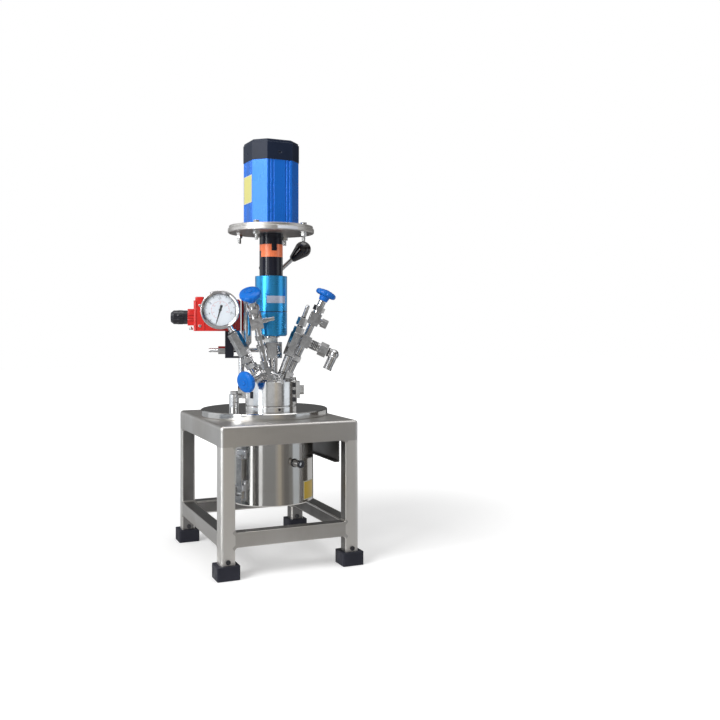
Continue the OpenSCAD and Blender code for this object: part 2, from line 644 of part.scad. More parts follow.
// ---- column, carrier and clamp lever ----
lever_hub_r = 7;
lever_hub_z = drive_top + 6;
lever_hub_x = 6;
lever_rod_r = 4;
lever_rod_l = 58;
lever_knob_l = 45;
lever_deg = 47;          // lean of the lever from straight up
lever_boss_h = 5;
clamp_r = 4;
module column() color([0.68, 0.67, 0.66]) at_column() {
    translate([0, 0, stand_h + 2]) cylinder(r = column_spigot_r, h = disc_t);
    translate([0, 0, disc_top]) cylinder(r = column_flange_r, h = column_flange_t);
    translate([0, 0, disc_top]) cylinder(r = column_r, h = plate_z - 4 - disc_top);
}
module at_lever() at_column() translate([lever_hub_x, carrier_r, lever_hub_z]) rotate([-90, 0, 0]) children();
module motor_carrier() color([0.10, 0.10, 0.12]) difference() {
    union() {
        at_column() translate([0, 0, carrier_z]) cylinder(r = carrier_r, h = plate_z - carrier_z);
        at_lever() translate([0, 0, -8]) cylinder(r = lever_hub_r, h = 8 + lever_boss_h);
    }
    at_column() translate([0, 0, carrier_z - 1]) cylinder(r = column_r + fit, h = plate_z);
    at_lever() translate([0, 0, -60]) cylinder(r = clamp_r + fit, h = 80);
}
// lever frame: z out of the carrier, away from the column
module clamp_lever() color([0.60, 0.59, 0.58]) at_lever() {
    translate([0, 0, -5.8]) cylinder(r = clamp_r, h = 6 + lever_boss_h);
    translate([0, 0, lever_boss_h + 0.3]) cylinder(r = lever_hub_r, h = 12);
    translate([0, 0, -1]) cylinder(r = clamp_r, h = 8);
    translate([0, 0, lever_boss_h + 6]) rotate([0, 0, lever_deg]) rotate([90, 0, 0])
        cylinder(r = lever_rod_r, h = lever_rod_l);
}
module lever_knob() color([0.06, 0.06, 0.07]) at_lever() translate([0, 0, lever_boss_h + 6])
    rotate([0, 0, lever_deg]) rotate([90, 0, 0]) translate([0, 0, lever_rod_l - 12]) difference() {
        rotate_extrude() intersection() {
            union() {
                translate([0, lever_knob_l - 15.5]) circle(r = 15.5);
                polygon([[0, 2], [7, 2], [15, lever_knob_l - 19], [0, lever_knob_l - 10]]);
                translate([0, 2]) polygon([[0, -2], [5, -2], [7, 0], [0, 0]]);
            }
            square([40, 100]);
        }
        translate([0, 0, -1]) cylinder(r = lever_rod_r, h = 13);
    }

// ---- fittings on the head ----
// Each branch has a frame of its own, with z along the branch.
boss_af = 16;
boss_h = 14;
gauge_s = 142;
adaptor_s = 50;
adaptor_l = 45;
adaptor_af = 20;
gauge_stem_r = 5;
case_d = 28;
case_wall = 2;
dial_inset = 6;
pointer_deg = 135;       // the pointer's zero, from straight up the stem
arbor_r = 1.2;
module at_gauge() on_head() translate([gauge_foot[0], gauge_foot[1], head_top])
    rotate([0, gauge_lean, 0]) children();
// z towards the viewer of the dial
module at_dial() at_gauge() translate([0, -case_d / 2, gauge_s]) rotate([90, 0, 0]) children();
// cuts a leaning branch off level with the head
module above_head() intersection() {
    children();
    on_head() translate([-stand_w, -stand_w, head_top]) cube([2 * stand_w, 2 * stand_w, 2 * stand_h]);
}
module gauge_adaptor() color([0.62, 0.61, 0.59]) difference() {
    union() {
        above_head() at_gauge() translate([0, 0, -boss_af * 0.75]) hex(boss_af, boss_af * 0.75 + boss_h);
        at_gauge() {
            translate([0, 0, boss_h - 1]) cylinder(r = 7, h = adaptor_s - boss_h + 2);
            translate([0, 0, boss_h + 10]) hex(18, 9);
            translate([0, 0, boss_h + 22]) hex(19, 10);
            translate([0, 0, adaptor_s]) hex(adaptor_af, adaptor_l);
            translate([0, 0, adaptor_s + adaptor_l - 1]) cylinder(r = 8, h = 6);
        }
    }
    at_gauge() translate([0, 0, adaptor_s + 20]) cylinder(r = gauge_stem_r, h = adaptor_l);
}
module gauge_case() color([0.66, 0.66, 0.67]) {
    at_dial() translate([0, 0, -case_d]) difference() {
        union() {
            cylinder(r = gauge_r - 1.2, h = case_d - 6);
            translate([0, 0, case_d - 7]) rotate_extrude() polygon([[0, 0], [gauge_r - 1, 0],
                [gauge_r, 1.5], [gauge_r, 5.5], [gauge_r - 1.5, 7], [0, 7]]);
        }
        translate([0, 0, case_wall]) cylinder(r = gauge_r - 3.5, h = 60);
    }
    at_gauge() translate([0, 0, adaptor_s + 20]) cylinder(r = gauge_stem_r, h = gauge_s - adaptor_s - 16 - gauge_r);
}
dial_z = -dial_inset - 1.2;
module gauge_dial() color([0.92, 0.94, 0.97]) at_dial() translate([0, 0, dial_z]) difference() {
    cylinder(r = gauge_r - 3.5, h = 1.2);
    translate([0, 0, -1]) cylinder(r = arbor_r + fit, h = 4);
}
module gauge_glass() color([0.8, 0.9, 0.95, 0.3]) at_dial() translate([0, 0, -2.6])
    cylinder(r = gauge_r - 3.5, h = 1.6);
module gauge_pointer() color([0.10, 0.12, 0.14]) at_dial() {
    translate([0, 0, case_wall - case_d + 0.3]) cylinder(r = arbor_r, h = case_d - case_wall - dial_inset + 1.2);
    rotate([0, 0, pointer_deg]) translate([0, 0, 0.5 - dial_inset]) linear_extrude(0.8) {
        polygon([[-1.6, 0], [-0.4, gauge_r * 0.75], [0.4, gauge_r * 0.75], [1.6, 0]]);
        circle(r = 2.6);
        polygon([[-1, 0], [-2.4, -6], [-2.0, -9], [2.0, -9], [2.4, -6], [1, 0]]);
    }
}

// red coil of the water valve, behind the gauge
coil_right = -56;
coil_front = 6;
coil_up = 87;
gland_up = 25;
coil_z = head_top + coil_up;
gland_z = coil_z + gland_up;
gland_y = coil_front + coil_d / 2;
boss_l = 11;
boss_side = 30;
gland_r = 12.5;
gland_l = 31;
gland_bore_r = 5;
bracket_x = -83;
bracket_w = 15;
bracket_t = 3;
bracket_up = 38;
bracket_shelf = 25;
bracket_z = head_top + bracket_up;
bracket_y = coil_front + 4;
water_z = bracket_z + 14;
water_block = 20;
water_y = water_foot[1];
core_r = 6;
core_l = 30;
water_pipe_r = 4;
module coil_box() color([0.80, 0.13, 0.11]) on_head() difference() {
    union() {
        translate([coil_right - coil_l / 2, coil_front + coil_d / 2, coil_z])
            bar(coil_l, coil_d, coil_h, 3);
        translate([coil_right - coil_l - boss_l, gland_y - boss_side / 2, gland_z - boss_side / 2])
            cube([boss_l + 2, boss_side, boss_side]);
        translate([coil_right - coil_l - boss_l + 2.5, gland_y - boss_side / 2 - 1, gland_z - 2])
            cube([boss_l, boss_side + 2, 4]);
    }
    translate([coil_right - coil_l - boss_l - 1, gland_y, gland_z]) rotate([0, 90, 0])
        cylinder(r = 8, h = 8);
    translate([bracket_x + bracket_w / 2, water_y, coil_z - 1]) cylinder(r = core_r + fit, h = core_l + 1);
}
module cable_gland() color([0.05, 0.05, 0.06]) on_head()
    translate([coil_right - coil_l - boss_l, gland_y, gland_z]) rotate([0, -90, 0]) difference() {
        union() {
            translate([0, 0, -7]) cylinder(r = 8, h = 8);
            hex(2 * gland_r * cos(30), 8);
            translate([0, 0, 7]) rotate_extrude() polygon([[0, 0], [gland_r - 0.6, 0], [gland_r, 1.5],
                [gland_r, gland_l - 12], [gland_r - 4, gland_l - 7], [0, gland_l - 7]]);
        }
        translate([0, 0, -gland_r]) cylinder(r = gland_bore_r, h = 2 * gland_l);
    }
module coil_bracket() color([0.09, 0.09, 0.10]) on_head() difference() {
    union() {
        translate([bracket_x, bracket_y, bracket_z]) cube([bracket_w, bracket_t, coil_z - bracket_z]);
        translate([bracket_x, bracket_y, coil_z - bracket_t]) cube([bracket_w + 5, bracket_shelf, bracket_t]);
        translate([bracket_x, bracket_y, bracket_z]) cube([post_x + 4 - bracket_x, post_y + 6 - bracket_y, bracket_t]);
    }
    translate([bracket_x + bracket_w / 2, water_y, coil_z - 10]) cylinder(r = core_r + slip, h = 20);
    translate([post_x, post_y, bracket_z - 1]) cylinder(r = post_tip_r + slip, h = 10);
}
// valve body under the coil, its hose barb and its pipe to the head
module solenoid_body() color([0.58, 0.56, 0.50]) on_head() {
    bx = bracket_x + bracket_w / 2;
    translate([bx - bracket_w / 2, water_y - 11.8, water_z - water_block / 2]) cube([bracket_w, 23.6, water_block]);
    translate([bx, water_y, water_z]) cylinder(r = core_r, h = coil_z + core_l - 2 - water_z);
    translate([bracket_x + 1, water_y, water_z]) rotate([0, -90, 0]) {
        hex(12.5, 14);
        translate([0, 0, 13]) cylinder(r = 3, h = 18);
        for (k = [0 : 3]) translate([0, 0, 15 + 4 * k]) cylinder(r1 = 4, r2 = 3, h = 3.6, $fn = 48);
    }
    translate([bx, water_y, water_z]) rotate([0, 90, 0]) cylinder(r = water_pipe_r, h = water_foot[0] - 10 - bx);
    translate([water_foot[0] - 10, water_y, water_z - 10]) rotate([90, 0, 0]) rotate_extrude(angle = 90)
        translate([10, 0]) circle(r = water_pipe_r);
    translate([water_foot[0], water_y, water_z - 10]) rotate([180, 0, 0]) cylinder(r = water_pipe_r,
        h = water_z - 10 - head_top - 10);
    translate([water_foot[0], water_y, head_top]) hex(12, 12);
}
post_x = -54;
post_y = bracket_y + 16;
post_r = 5.5;
post_tip_r = 2.5;
pillar_x = -67.5;
pillar_r = 9;
pillar_h = 28;
arm_t = 7;
module bracket_post() color([0.64, 0.63, 0.62]) on_head() {
    translate([pillar_x, post_y, disc_top]) cylinder(r = pillar_r, h = pillar_h);
    translate([pillar_x, post_y, disc_top + pillar_h - eps]) hex(12, 6);
    translate([pillar_x, post_y - 5.5, disc_top + pillar_h - arm_t]) cube([post_x - pillar_x, 11, arm_t]);
    translate([post_x, post_y, disc_top + pillar_h - arm_t]) cylinder(r = 5.5, h = arm_t);
    translate([post_x, post_y, disc_top + pillar_h - 1])
        cylinder(r = post_r, h = bracket_z - disc_top - pillar_h + 1);
    translate([post_x, post_y, bracket_z - eps]) cylinder(r = post_tip_r, h = bracket_t + 1);
    translate([post_x, post_y, bracket_z + bracket_t]) cylinder(r = 4.5, h = 3.5);
}
// upright inlet filter on a bent pipe
filter_x = -44.7;
filter_r = 9.2;
filter_z = head_top + 60;
filter_l = 98;
filter_bend = 8;
filter_pipe_r = 4.5;
filter_run_z = head_top + 20;
module filter_tube() color([0.74, 0.74, 0.75]) on_head() {
    translate([filter_x, filter_foot[1], filter_z]) rotate_extrude() polygon([[0, 0], [filter_pipe_r, 0],
        [filter_r, 6], [filter_r, filter_l - 3], [filter_r - 3, filter_l], [0, filter_l]]);
    translate([filter_x, filter_foot[1], filter_run_z + filter_bend])
        cylinder(r = filter_pipe_r, h = filter_z - filter_run_z - filter_bend + 1);
    translate([filter_x + filter_bend, filter_foot[1], filter_run_z + filter_bend]) rotate([90, 0, 0])
        rotate_extrude(angle = 90) translate([-filter_bend, 0]) mirror([0, 1]) circle(r = filter_pipe_r);
    translate([filter_x + filter_bend, filter_foot[1], filter_run_z]) rotate([0, 90, 0])
        cylinder(r = filter_pipe_r, h = filter_foot[0] - filter_x - filter_bend);
    translate([filter_foot[0], filter_foot[1], head_top]) hex(13, filter_run_z - head_top + 6);
}

// ---- needle valves ----
stem_r = 2.5;
bonnet_l = 24;
wheel_hub_l = 10;
wheel_h = 11;
wheel_lift = 1;
neck_up = 6;             // longer neck of the two front valves
// steel bonnet along z from the block's centre, bored for the stem
module bonnet(from) {
    translate([0, 0, from - 1]) cylinder(r = 8, h = 6);
    translate([0, 0, from + 4]) hex(19, 9);
    translate([0, 0, from + 12]) cylinder(r = 6.8, h = bonnet_l - 12);
}
module stem_bore(from) translate([0, 0, from - 4]) cylinder(r = stem_r + fit, h = bonnet_l + 10);
module stem(from) {
    translate([0, 0, from - 3]) cylinder(r = stem_r, h = bonnet_l + wheel_lift + wheel_hub_l + 6);
}
module wheel(from) translate([0, 0, from + bonnet_l + wheel_lift]) difference() {
    union() {
        cylinder(r1 = 8, r2 = 10, h = wheel_hub_l);
        translate([0, 0, wheel_hub_l - 1]) rotate_extrude() polygon([[0, 0], [wheel_r - 4, 0], [wheel_r - 1.2, 1.2],
            [wheel_r, 3.4], [wheel_r, wheel_h - 5], [wheel_r - 1.4, wheel_h - 2.4], [wheel_r - 5, wheel_h - 0.7],
            [wheel_r - 10, wheel_h], [0, wheel_h]]);
    }
    for (a = [0 : 45 : 315]) rotate([0, 0, a]) translate([wheel_r + 3.4, 0, wheel_hub_l - 3])
        cylinder(r = 4.6, h = wheel_h + 5);
    translate([0, 0, -1]) cylinder(r = stem_r, h = wheel_hub_l + 4);
}

// front stack: the sampling valve's block, then a riser to the gas valve
stack_lean = [9, -12, 0];
stack_block = 20;
sample_s = 14;
gas_s = 110;
gas_tilt = 26;
gas_block = 11;
spout_r = 3.2;
spout_l = 24;
module at_stack() on_head() translate([stack_foot[0], stack_foot[1], head_top]) rotate(stack_lean) children();
module at_gas() at_stack() translate([0, 0, gas_s]) rotate([gas_tilt, 0, 0]) children();
module at_sample() at_stack() translate([0, 0, sample_s]) rotate([0, 0, 45]) rotate([0, 90, 180]) children();
module sample_valve_body() color([0.58, 0.57, 0.53]) difference() {
    union() {
        above_head() at_stack() translate([0, 0, -12]) cylinder(r = 8, h = 18);
        at_stack() translate([-stack_block / 2, -stack_block / 2, 4]) cube([stack_block, stack_block, stack_block]);
        at_sample() translate([0, 0, stack_block / 2 - 1]) cylinder(r = 8.6, h = neck_up + 1);
        at_sample() bonnet(stack_block / 2 + neck_up);
        at_stack() translate([6, -6, 14]) rotate([0, 90, -50]) rotate([0, 12, 0]) {
            cylinder(r = spout_r, h = spout_l + spout_r);
            translate([0, 0, spout_l]) rotate([0, 70, 0]) cylinder(r = spout_r - 0.5, h = 15);
        }
    }
    at_sample() stem_bore(stack_block / 2 + neck_up);
}
module sample_valve_stem() color([0.70, 0.70, 0.71]) at_sample() stem(stack_block / 2 + neck_up);
module sample_valve_wheel() color([0.12, 0.42, 0.86]) at_sample() wheel(stack_block / 2 + neck_up);
riser_s = 4 + stack_block;
module gas_valve_body() color([0.60, 0.59, 0.57]) difference() {
    union() {
        at_stack() {
            translate([0, 0, riser_s]) hex(15, 12);
            translate([0, 0, riser_s + 11]) cylinder(r = 6, h = gas_s - riser_s - 20);
            translate([0, 0, riser_s + 30]) hex(16, 12);
            translate([0, 0, riser_s + 50]) hex(14, 9);
        }
        at_gas() {
            translate([-gas_block, -gas_block, -gas_block - 2]) cube([2 * gas_block, 2 * gas_block, 2 * gas_block + 2]);
            translate([0, 0, gas_block - 1]) cylinder(r = 8.6, h = neck_up + 1);
            bonnet(gas_block + neck_up);
        }
        at_stack() translate([0, -2, -3]) rotate([0, 90, 0]) translate([-gas_s, 0, gas_block - 3]) {
            cylinder(r = 5, h = 12);
            translate([0, 0, 8]) cylinder(r = 3.8, h = 16);
        }
    }
    at_gas() stem_bore(gas_block + neck_up);
}
module gas_valve_stem() color([0.70, 0.70, 0.71]) at_gas() stem(gas_block + neck_up);
module gas_valve_wheel() color([0.12, 0.42, 0.86]) at_gas() wheel(gas_block + neck_up);

// right branch: tee with the relief elbow, then the vent valve
tee_s = 76;
tee_block = 22;
vent_s = 122;
vent_block = 10;
relief_x = 60;
module at_vent() on_head() translate([vent_foot[0], vent_foot[1], head_top]) rotate([0, vent_lean, 0]) children();
module vent_valve_body() color([0.60, 0.59, 0.57]) difference() {
    union() {
        above_head() at_vent() translate([0, 0, -boss_af * 0.75]) hex(boss_af, boss_af * 0.75 + boss_h);
        at_vent() {
            translate([0, 0, boss_h - 1]) cylinder(r = 6.5, h = tee_s - boss_h - tee_block / 2 + 2);
            translate([0, 0, 36]) hex(15, 10);
            translate([-tee_block / 2, -tee_block / 2, tee_s - tee_block / 2]) cube(tee_block);
            translate([0, 0, tee_s]) cylinder(r = 6, h = vent_s - tee_s - vent_block);
            translate([0, 0, vent_s]) translate([-vent_block, -vent_block, -vent_block - 3])
                cube([2 * vent_block, 2 * vent_block, 2 * vent_block + 3]);
            translate([0, 0, vent_s - 2]) rotate([0, 90, 0]) {
                translate([0, 0, vent_block - 1]) cylinder(r = 5.5, h = 6);
                translate([0, 0, vent_block + 4]) difference() {
                    hex(14, 12);
                    translate([0, 0, 4]) cylinder(r = 3.5, h = 20);
                }
            }
            translate([0, 0, vent_s]) bonnet(vent_block);
        }
    }
    at_vent() translate([0, 0, vent_s]) stem_bore(vent_block);
}
module vent_valve_stem() color([0.70, 0.70, 0.71]) at_vent() translate([0, 0, vent_s]) stem(vent_block);
module vent_valve_wheel() color([0.12, 0.42, 0.86]) at_vent() translate([0, 0, vent_s]) wheel(vent_block);
module relief_elbow() color([0.56, 0.55, 0.53]) at_vent() translate([0, 0, tee_s]) difference() {
    union() {
        rotate([0, 90, 0]) {
            translate([0, 0, tee_block / 2]) cylinder(r = 5, h = relief_x - tee_block / 2);
            translate([0, 0, tee_block / 2]) cylinder(r = 8.2, h = 21);
            translate([0, 0, tee_block / 2 + 20]) hex(22, 15);
            translate([0, 0, relief_x - 11]) cylinder(r = 8, h = 11);
        }
        translate([relief_x, 0, 0]) sphere(r = 9.4);
        translate([relief_x, 0, -27]) cylinder(r = 7.8, h = 27);
        translate([relief_x, 0, -30]) cylinder(r = 8.4, h = 4);
    }
    translate([relief_x, 0, -31]) cylinder(r = 5, h = 31);
}
well_tip = 143.5;
well_body_s = 46;
module at_well() on_head() translate([well_foot[0], well_foot[1], head_top]) rotate([0, well_lean, 0]) children();
module thermowell() color([0.64, 0.63, 0.62]) {
    above_head() at_well() translate([0, 0, -12]) hex(14, 24);
    at_well() {
        translate([0, 0, 11]) cylinder(r = 7.2, h = well_body_s - 10);
        translate([0, 0, well_body_s]) hex(19.5, 89 - well_body_s);
        translate([0, 0, 88]) hex(17, 12);
        translate([0, 0, 99]) cylinder(r = 5, h = 6);
        translate([0, 0, 104]) hex(16, 14);
        translate([0, 0, 117]) cylinder(r = 3.6, h = well_tip - 117 - 3.6);
        translate([0, 0, well_tip - 3.6]) sphere(r = 3.6);
    }
    on_head() translate([well_foot[0], well_foot[1], vessel_bottom + 50])
        cylinder(r = port_r, h = head_top + 2 - vessel_bottom - 50);
}
// cooling loop: down through one port, round under the shaft's side, up to the other
loop_bend = (return_foot[0] - water_foot[0]) / 2;
loop_z = vessel_bottom + 60;
module cooling_loop() color([0.70, 0.70, 0.69]) on_head() {
    for (p = [water_foot, return_foot]) translate([p[0], p[1], loop_z])
        cylinder(r = port_r, h = head_top - loop_z);
    translate([water_foot[0] + loop_bend, water_foot[1], loop_z]) rotate([-90, 0, 0])
        rotate_extrude(angle = 180) translate([loop_bend, 0]) circle(r = port_r);
    translate([return_foot[0], return_foot[1], head_top]) {
        hex(12, 12);
        translate([0, 0, 11]) cylinder(r = 4, h = 12);
    }
}

stand_frame();
feet();
stand_screws();
base_disc();
vessel();
head_gasket();
head();
ring_front();
ring_rear();
ring_bolts();
heater_jacket();
heater_pan();
heater_insulation();
heater_liner();
heater_socket();
latch_plates();
latch_lever();
latch_bail();
column();
motor_carrier();
clamp_lever();
lever_knob();
motor_plate();
motor_fasteners();
motor_body();
motor_cap();
motor_rotor();
motor_bearings();
upper_hub();
spider();
lower_hub();
drive_housing();
drive_rotor();
drive_neck();
agitator_shaft();
drive_bearings();
impeller();
gauge_case();
gauge_dial();
gauge_glass();
gauge_pointer();
gauge_adaptor();
coil_box();
cable_gland();
coil_bracket();
solenoid_body();
bracket_post();
filter_tube();
gas_valve_body();
gas_valve_stem();
gas_valve_wheel();
vent_valve_body();
vent_valve_stem();
vent_valve_wheel();
sample_valve_body();
sample_valve_stem();
sample_valve_wheel();
relief_elbow();
thermowell();
cooling_loop();
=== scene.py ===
import json
from math import radians, pi, sin, cos

import bmesh
import bpy
from mathutils import Matrix, Vector


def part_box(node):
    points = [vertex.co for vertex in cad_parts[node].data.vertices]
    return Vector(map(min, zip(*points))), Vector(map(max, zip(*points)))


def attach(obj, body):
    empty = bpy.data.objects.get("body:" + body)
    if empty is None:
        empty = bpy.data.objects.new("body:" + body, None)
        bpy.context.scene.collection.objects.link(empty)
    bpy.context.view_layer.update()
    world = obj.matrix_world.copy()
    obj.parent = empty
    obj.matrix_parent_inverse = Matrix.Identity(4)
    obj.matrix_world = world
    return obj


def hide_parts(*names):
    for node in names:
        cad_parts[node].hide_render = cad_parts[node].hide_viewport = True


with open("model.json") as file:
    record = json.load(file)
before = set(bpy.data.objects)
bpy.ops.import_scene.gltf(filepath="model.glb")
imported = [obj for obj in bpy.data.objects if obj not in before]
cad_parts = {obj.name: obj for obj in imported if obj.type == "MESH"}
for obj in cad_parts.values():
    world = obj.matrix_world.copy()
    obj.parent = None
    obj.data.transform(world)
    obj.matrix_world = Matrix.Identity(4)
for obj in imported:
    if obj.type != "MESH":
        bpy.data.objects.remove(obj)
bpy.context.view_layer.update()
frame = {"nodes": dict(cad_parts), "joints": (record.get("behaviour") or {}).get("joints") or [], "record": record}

nodes = frame["nodes"]
slotOf = {part["node"]: part["material_slot"] for part in frame["record"]["subparts"]}
joint = {j["name"]: j for j in frame["joints"]}
mm = 0.001
print("frame loaded:", len(nodes), "nodes")

camera = {"place": (-0.4955, -1.537, 0.4198), "heading": -24.2, "lens": 43.14, "rise": -0.0485}
eye = bpy.data.objects.new("camera", bpy.data.cameras.new("camera"))
bpy.context.collection.objects.link(eye)
eye.location = camera["place"]
eye.rotation_euler = (radians(90), 0, radians(camera["heading"]))
eye.data.sensor_width = 36
eye.data.lens = camera["lens"]
eye.data.shift_y = camera["rise"]
eye.data.clip_start = 0.01
bpy.context.scene.camera = eye
bpy.context.scene.view_settings.view_transform = "Standard"

# studio: lamps, a pale floor, and a ring of toned cards that only polished surfaces mirror
studio = {
    "floorSize": 14.0, "floorColour": (0.80, 0.80, 0.80), "nearGlow": 0.30, "farGlow": 1.0, "glowFrom": 0.35, "glowTo": 1.5,
    "background": 1.0, "fill": 0.34,
    "lamps": [
        # name, place, watts, size, what it looks at
        ("leftSoftbox", (-1.7, -0.9, 1.3), 40, 1.1, (0, 0, 0.40)),
        ("topSoftbox", (0.2, -0.2, 2.3), 14, 1.5, (0, 0, 0.30)),
        ("rightSoftbox", (1.75, -1.1, 0.9), 5, 0.8, (0, 0, 0.40)),
    ],
}
cardRing = {
    "middle": (0.0, -0.05), "front": -17.9, "near": 0.42, "far": 1.95, "steps": (0.001, 0.09, 0.28, 0.75, 1.55),
    "cards": [
        # from, to (degrees round from the front), glow of the floor and of the wall in four heights, tint
        (-180, -150, 0.10, 0.10, 0.30, 0.10, 0.10, (1, 1, 1)),
        (-150, -118, 0.42, 0.46, 0.60, 0.55, 0.45, (0.94, 0.97, 1)),
        (-118, -86, 0.50, 0.75, 1.00, 0.80, 1.40, (0.94, 0.97, 1)),
        (-86, -70, 0.16, 0.16, 1.20, 0.14, 0.10, (0.85, 0.92, 1)),
        (-70, -56, 0.06, 0.06, 1.20, 0.08, 0.08, (0.85, 0.92, 1)),
        (-56, -43, 2.0, 2.8, 1.60, 7.5, 1.1, (0.95, 0.98, 1)),
        (-43, -33, 0.10, 0.10, 1.30, 0.25, 0.10, (0.9, 0.95, 1)),
        (-33, -23, 1.0, 1.5, 1.20, 1.4, 1.0, (0.96, 0.98, 1)),
        (-23, -17, 0.27, 0.36, 0.05, 0.28, 0.20, (0.99, 1, 1)),
        (-17, 11, 0.27, 0.36, 0.62, 0.28, 0.20, (0.99, 1, 1)),
        (11, 17, 0.36, 0.40, 0.60, 0.30, 0.20, (1, 0.97, 0.92)),
        (17, 26, 0.44, 0.40, 0.58, 0.30, 0.20, (1, 0.92, 0.78)),
        (26, 33, 0.24, 0.26, 0.56, 0.22, 0.14, (1, 0.94, 0.86)),
        (33, 47, 0.16, 0.18, 0.50, 0.12, 0.08, (1, 0.97, 0.94)),
        (47, 58, 0.22, 0.22, 0.06, 0.22, 0.08, (1, 0.99, 0.96)),
        (58, 88, 0.58, 0.70, 1.10, 0.75, 0.08, (0.88, 0.94, 1)),
        (88, 113, 0.08, 0.09, 0.10, 0.10, 0.05, (1, 0.92, 0.84)),
        (113, 148, 0.55, 0.60, 0.30, 0.60, 0.06, (1, 1, 1)),
        (148, 180, 0.10, 0.10, 0.10, 0.10, 0.10, (1, 1, 1)),
    ],
    "apron": 0.17, "apronGlow": 0.36,
    "roof": [(1.95, 1.55), (1.75, 2.2), (1.1, 2.8), (0.02, 3.0)], "roofGlow": 0.42,
}


def stageObject(name, bm, material):
    mesh = bpy.data.meshes.new(name)
    bm.to_mesh(mesh)
    bm.free()
    mesh.materials.append(material)
    thing = bpy.data.objects.new(name, mesh)
    bpy.context.collection.objects.link(thing)
    return thing


def cameraOrMirror(tree):
    # 1 for camera, glossy and transmission rays
    path = tree.nodes.new("ShaderNodeLightPath")
    first = tree.nodes.new("ShaderNodeMath")
    first.operation = "MAXIMUM"
    tree.links.new(path.outputs["Is Camera Ray"], first.inputs[0])
    tree.links.new(path.outputs["Is Glossy Ray"], first.inputs[1])
    second = tree.nodes.new("ShaderNodeMath")
    second.operation = "MAXIMUM"
    tree.links.new(first.outputs[0], second.inputs[0])
    tree.links.new(path.outputs["Is Transmission Ray"], second.inputs[1])
    return second.outputs[0]


# floor: lit and shaded near the object, and white further out
floorMaterial = bpy.data.materials.new("studioFloor")
floorMaterial.use_nodes = True
tree = floorMaterial.node_tree
surface = tree.nodes["Principled BSDF"]
surface.inputs["Base Color"].default_value = (*studio["floorColour"], 1)
surface.inputs["Roughness"].default_value = 0.9
surface.inputs["Specular IOR Level"].default_value = 0.0
surface.inputs["Emission Color"].default_value = (1, 1, 1, 1)
coords = tree.nodes.new("ShaderNodeTexCoord")
distance = tree.nodes.new("ShaderNodeVectorMath")
distance.operation = "LENGTH"
glow = tree.nodes.new("ShaderNodeMapRange")
glow.interpolation_type = "SMOOTHSTEP"
for label, key in (("From Min", "glowFrom"), ("From Max", "glowTo"), ("To Min", "nearGlow"), ("To Max", "farGlow")):
    glow.inputs[label].default_value = studio[key]
shown = tree.nodes.new("ShaderNodeMath")
shown.operation = "MULTIPLY"
tree.links.new(coords.outputs["Object"], distance.inputs[0])
tree.links.new(distance.outputs["Value"], glow.inputs["Value"])
tree.links.new(glow.outputs["Result"], shown.inputs[0])
tree.links.new(cameraOrMirror(tree), shown.inputs[1])
tree.links.new(shown.outputs[0], surface.inputs["Emission Strength"])
bm = bmesh.new()
bmesh.ops.create_grid(bm, x_segments=1, y_segments=1, size=studio["floorSize"] / 2,
                      matrix=Matrix.Translation((0, 0, -0.0005)))
stageObject("studioFloor", bm, floorMaterial)


def cardStrip(name, profile, start, end, glow, tint):
    # a strip spun round the object, seen by reflections alone
    material = bpy.data.materials.new(name)
    material.use_nodes = True
    material.cycles.emission_sampling = "NONE"
    surface = material.node_tree.nodes["Principled BSDF"]
    surface.inputs["Base Color"].default_value = (0, 0, 0, 1)
    surface.inputs["Specular IOR Level"].default_value = 0.0
    surface.inputs["Emission Color"].default_value = (*tint, 1)
    surface.inputs["Emission Strength"].default_value = glow
    bm = bmesh.new()
    middle = (*cardRing["middle"], 0)
    first = Matrix.Translation(middle) @ Matrix.Rotation(radians(cardRing["front"] + start), 4, "Z")
    verts = [bm.verts.new(first @ Vector((0, -r, z))) for r, z in profile]
    edges = [bm.edges.new(pair) for pair in zip(verts, verts[1:])]
    bmesh.ops.spin(bm, geom=verts + edges, cent=middle, axis=(0, 0, 1), angle=radians(end - start),
                   steps=max(1, round((end - start) / 6)))
    card = stageObject(name, bm, material)
    card.visible_camera = False
    card.visible_shadow = False
    card.visible_diffuse = False
    card.visible_transmission = False


near, far = cardRing["near"], cardRing["far"]
for count, (start, end, *glows, tint) in enumerate(cardRing["cards"]):
    cardStrip(f"floorCard{count}", [(near, 0.001), (far, 0.001)], start, end, glows[0], tint)
    for level, (low, high) in enumerate(zip(cardRing["steps"], cardRing["steps"][1:])):
        cardStrip(f"wallCard{count}_{level}", [(far, low), (far, high)], start, end, glows[level + 1], tint)
cardStrip("apronCard", [(cardRing["apron"], 0.001), (near, 0.001)], -180, 180, cardRing["apronGlow"], (1, 1, 1))
cardStrip("roofCard", cardRing["roof"], -180, 180, cardRing["roofGlow"], (1, 1, 1))
for name, place, watts, size, target in studio["lamps"]:
    lamp = bpy.data.objects.new(name, bpy.data.lights.new(name, "AREA"))
    bpy.context.collection.objects.link(lamp)
    lamp.data.energy = watts
    lamp.data.size = size
    lamp.location = place
    lamp.rotation_euler = (Vector(target) - Vector(place)).to_track_quat("-Z", "Y").to_euler()
world = bpy.data.worlds.new("studio")
bpy.context.scene.world = world
world.use_nodes = True
sky = world.node_tree
blend = sky.nodes.new("ShaderNodeMix")
blend.data_type = "FLOAT"
blend.inputs["A"].default_value = studio["fill"]
blend.inputs["B"].default_value = studio["background"]
sky.links.new(cameraOrMirror(sky), blend.inputs["Factor"])
sky.nodes["Background"].inputs["Color"].default_value = (1, 1, 1, 1)
sky.links.new(blend.outputs["Result"], sky.nodes["Background"].inputs["Strength"])
print("camera and studio set")


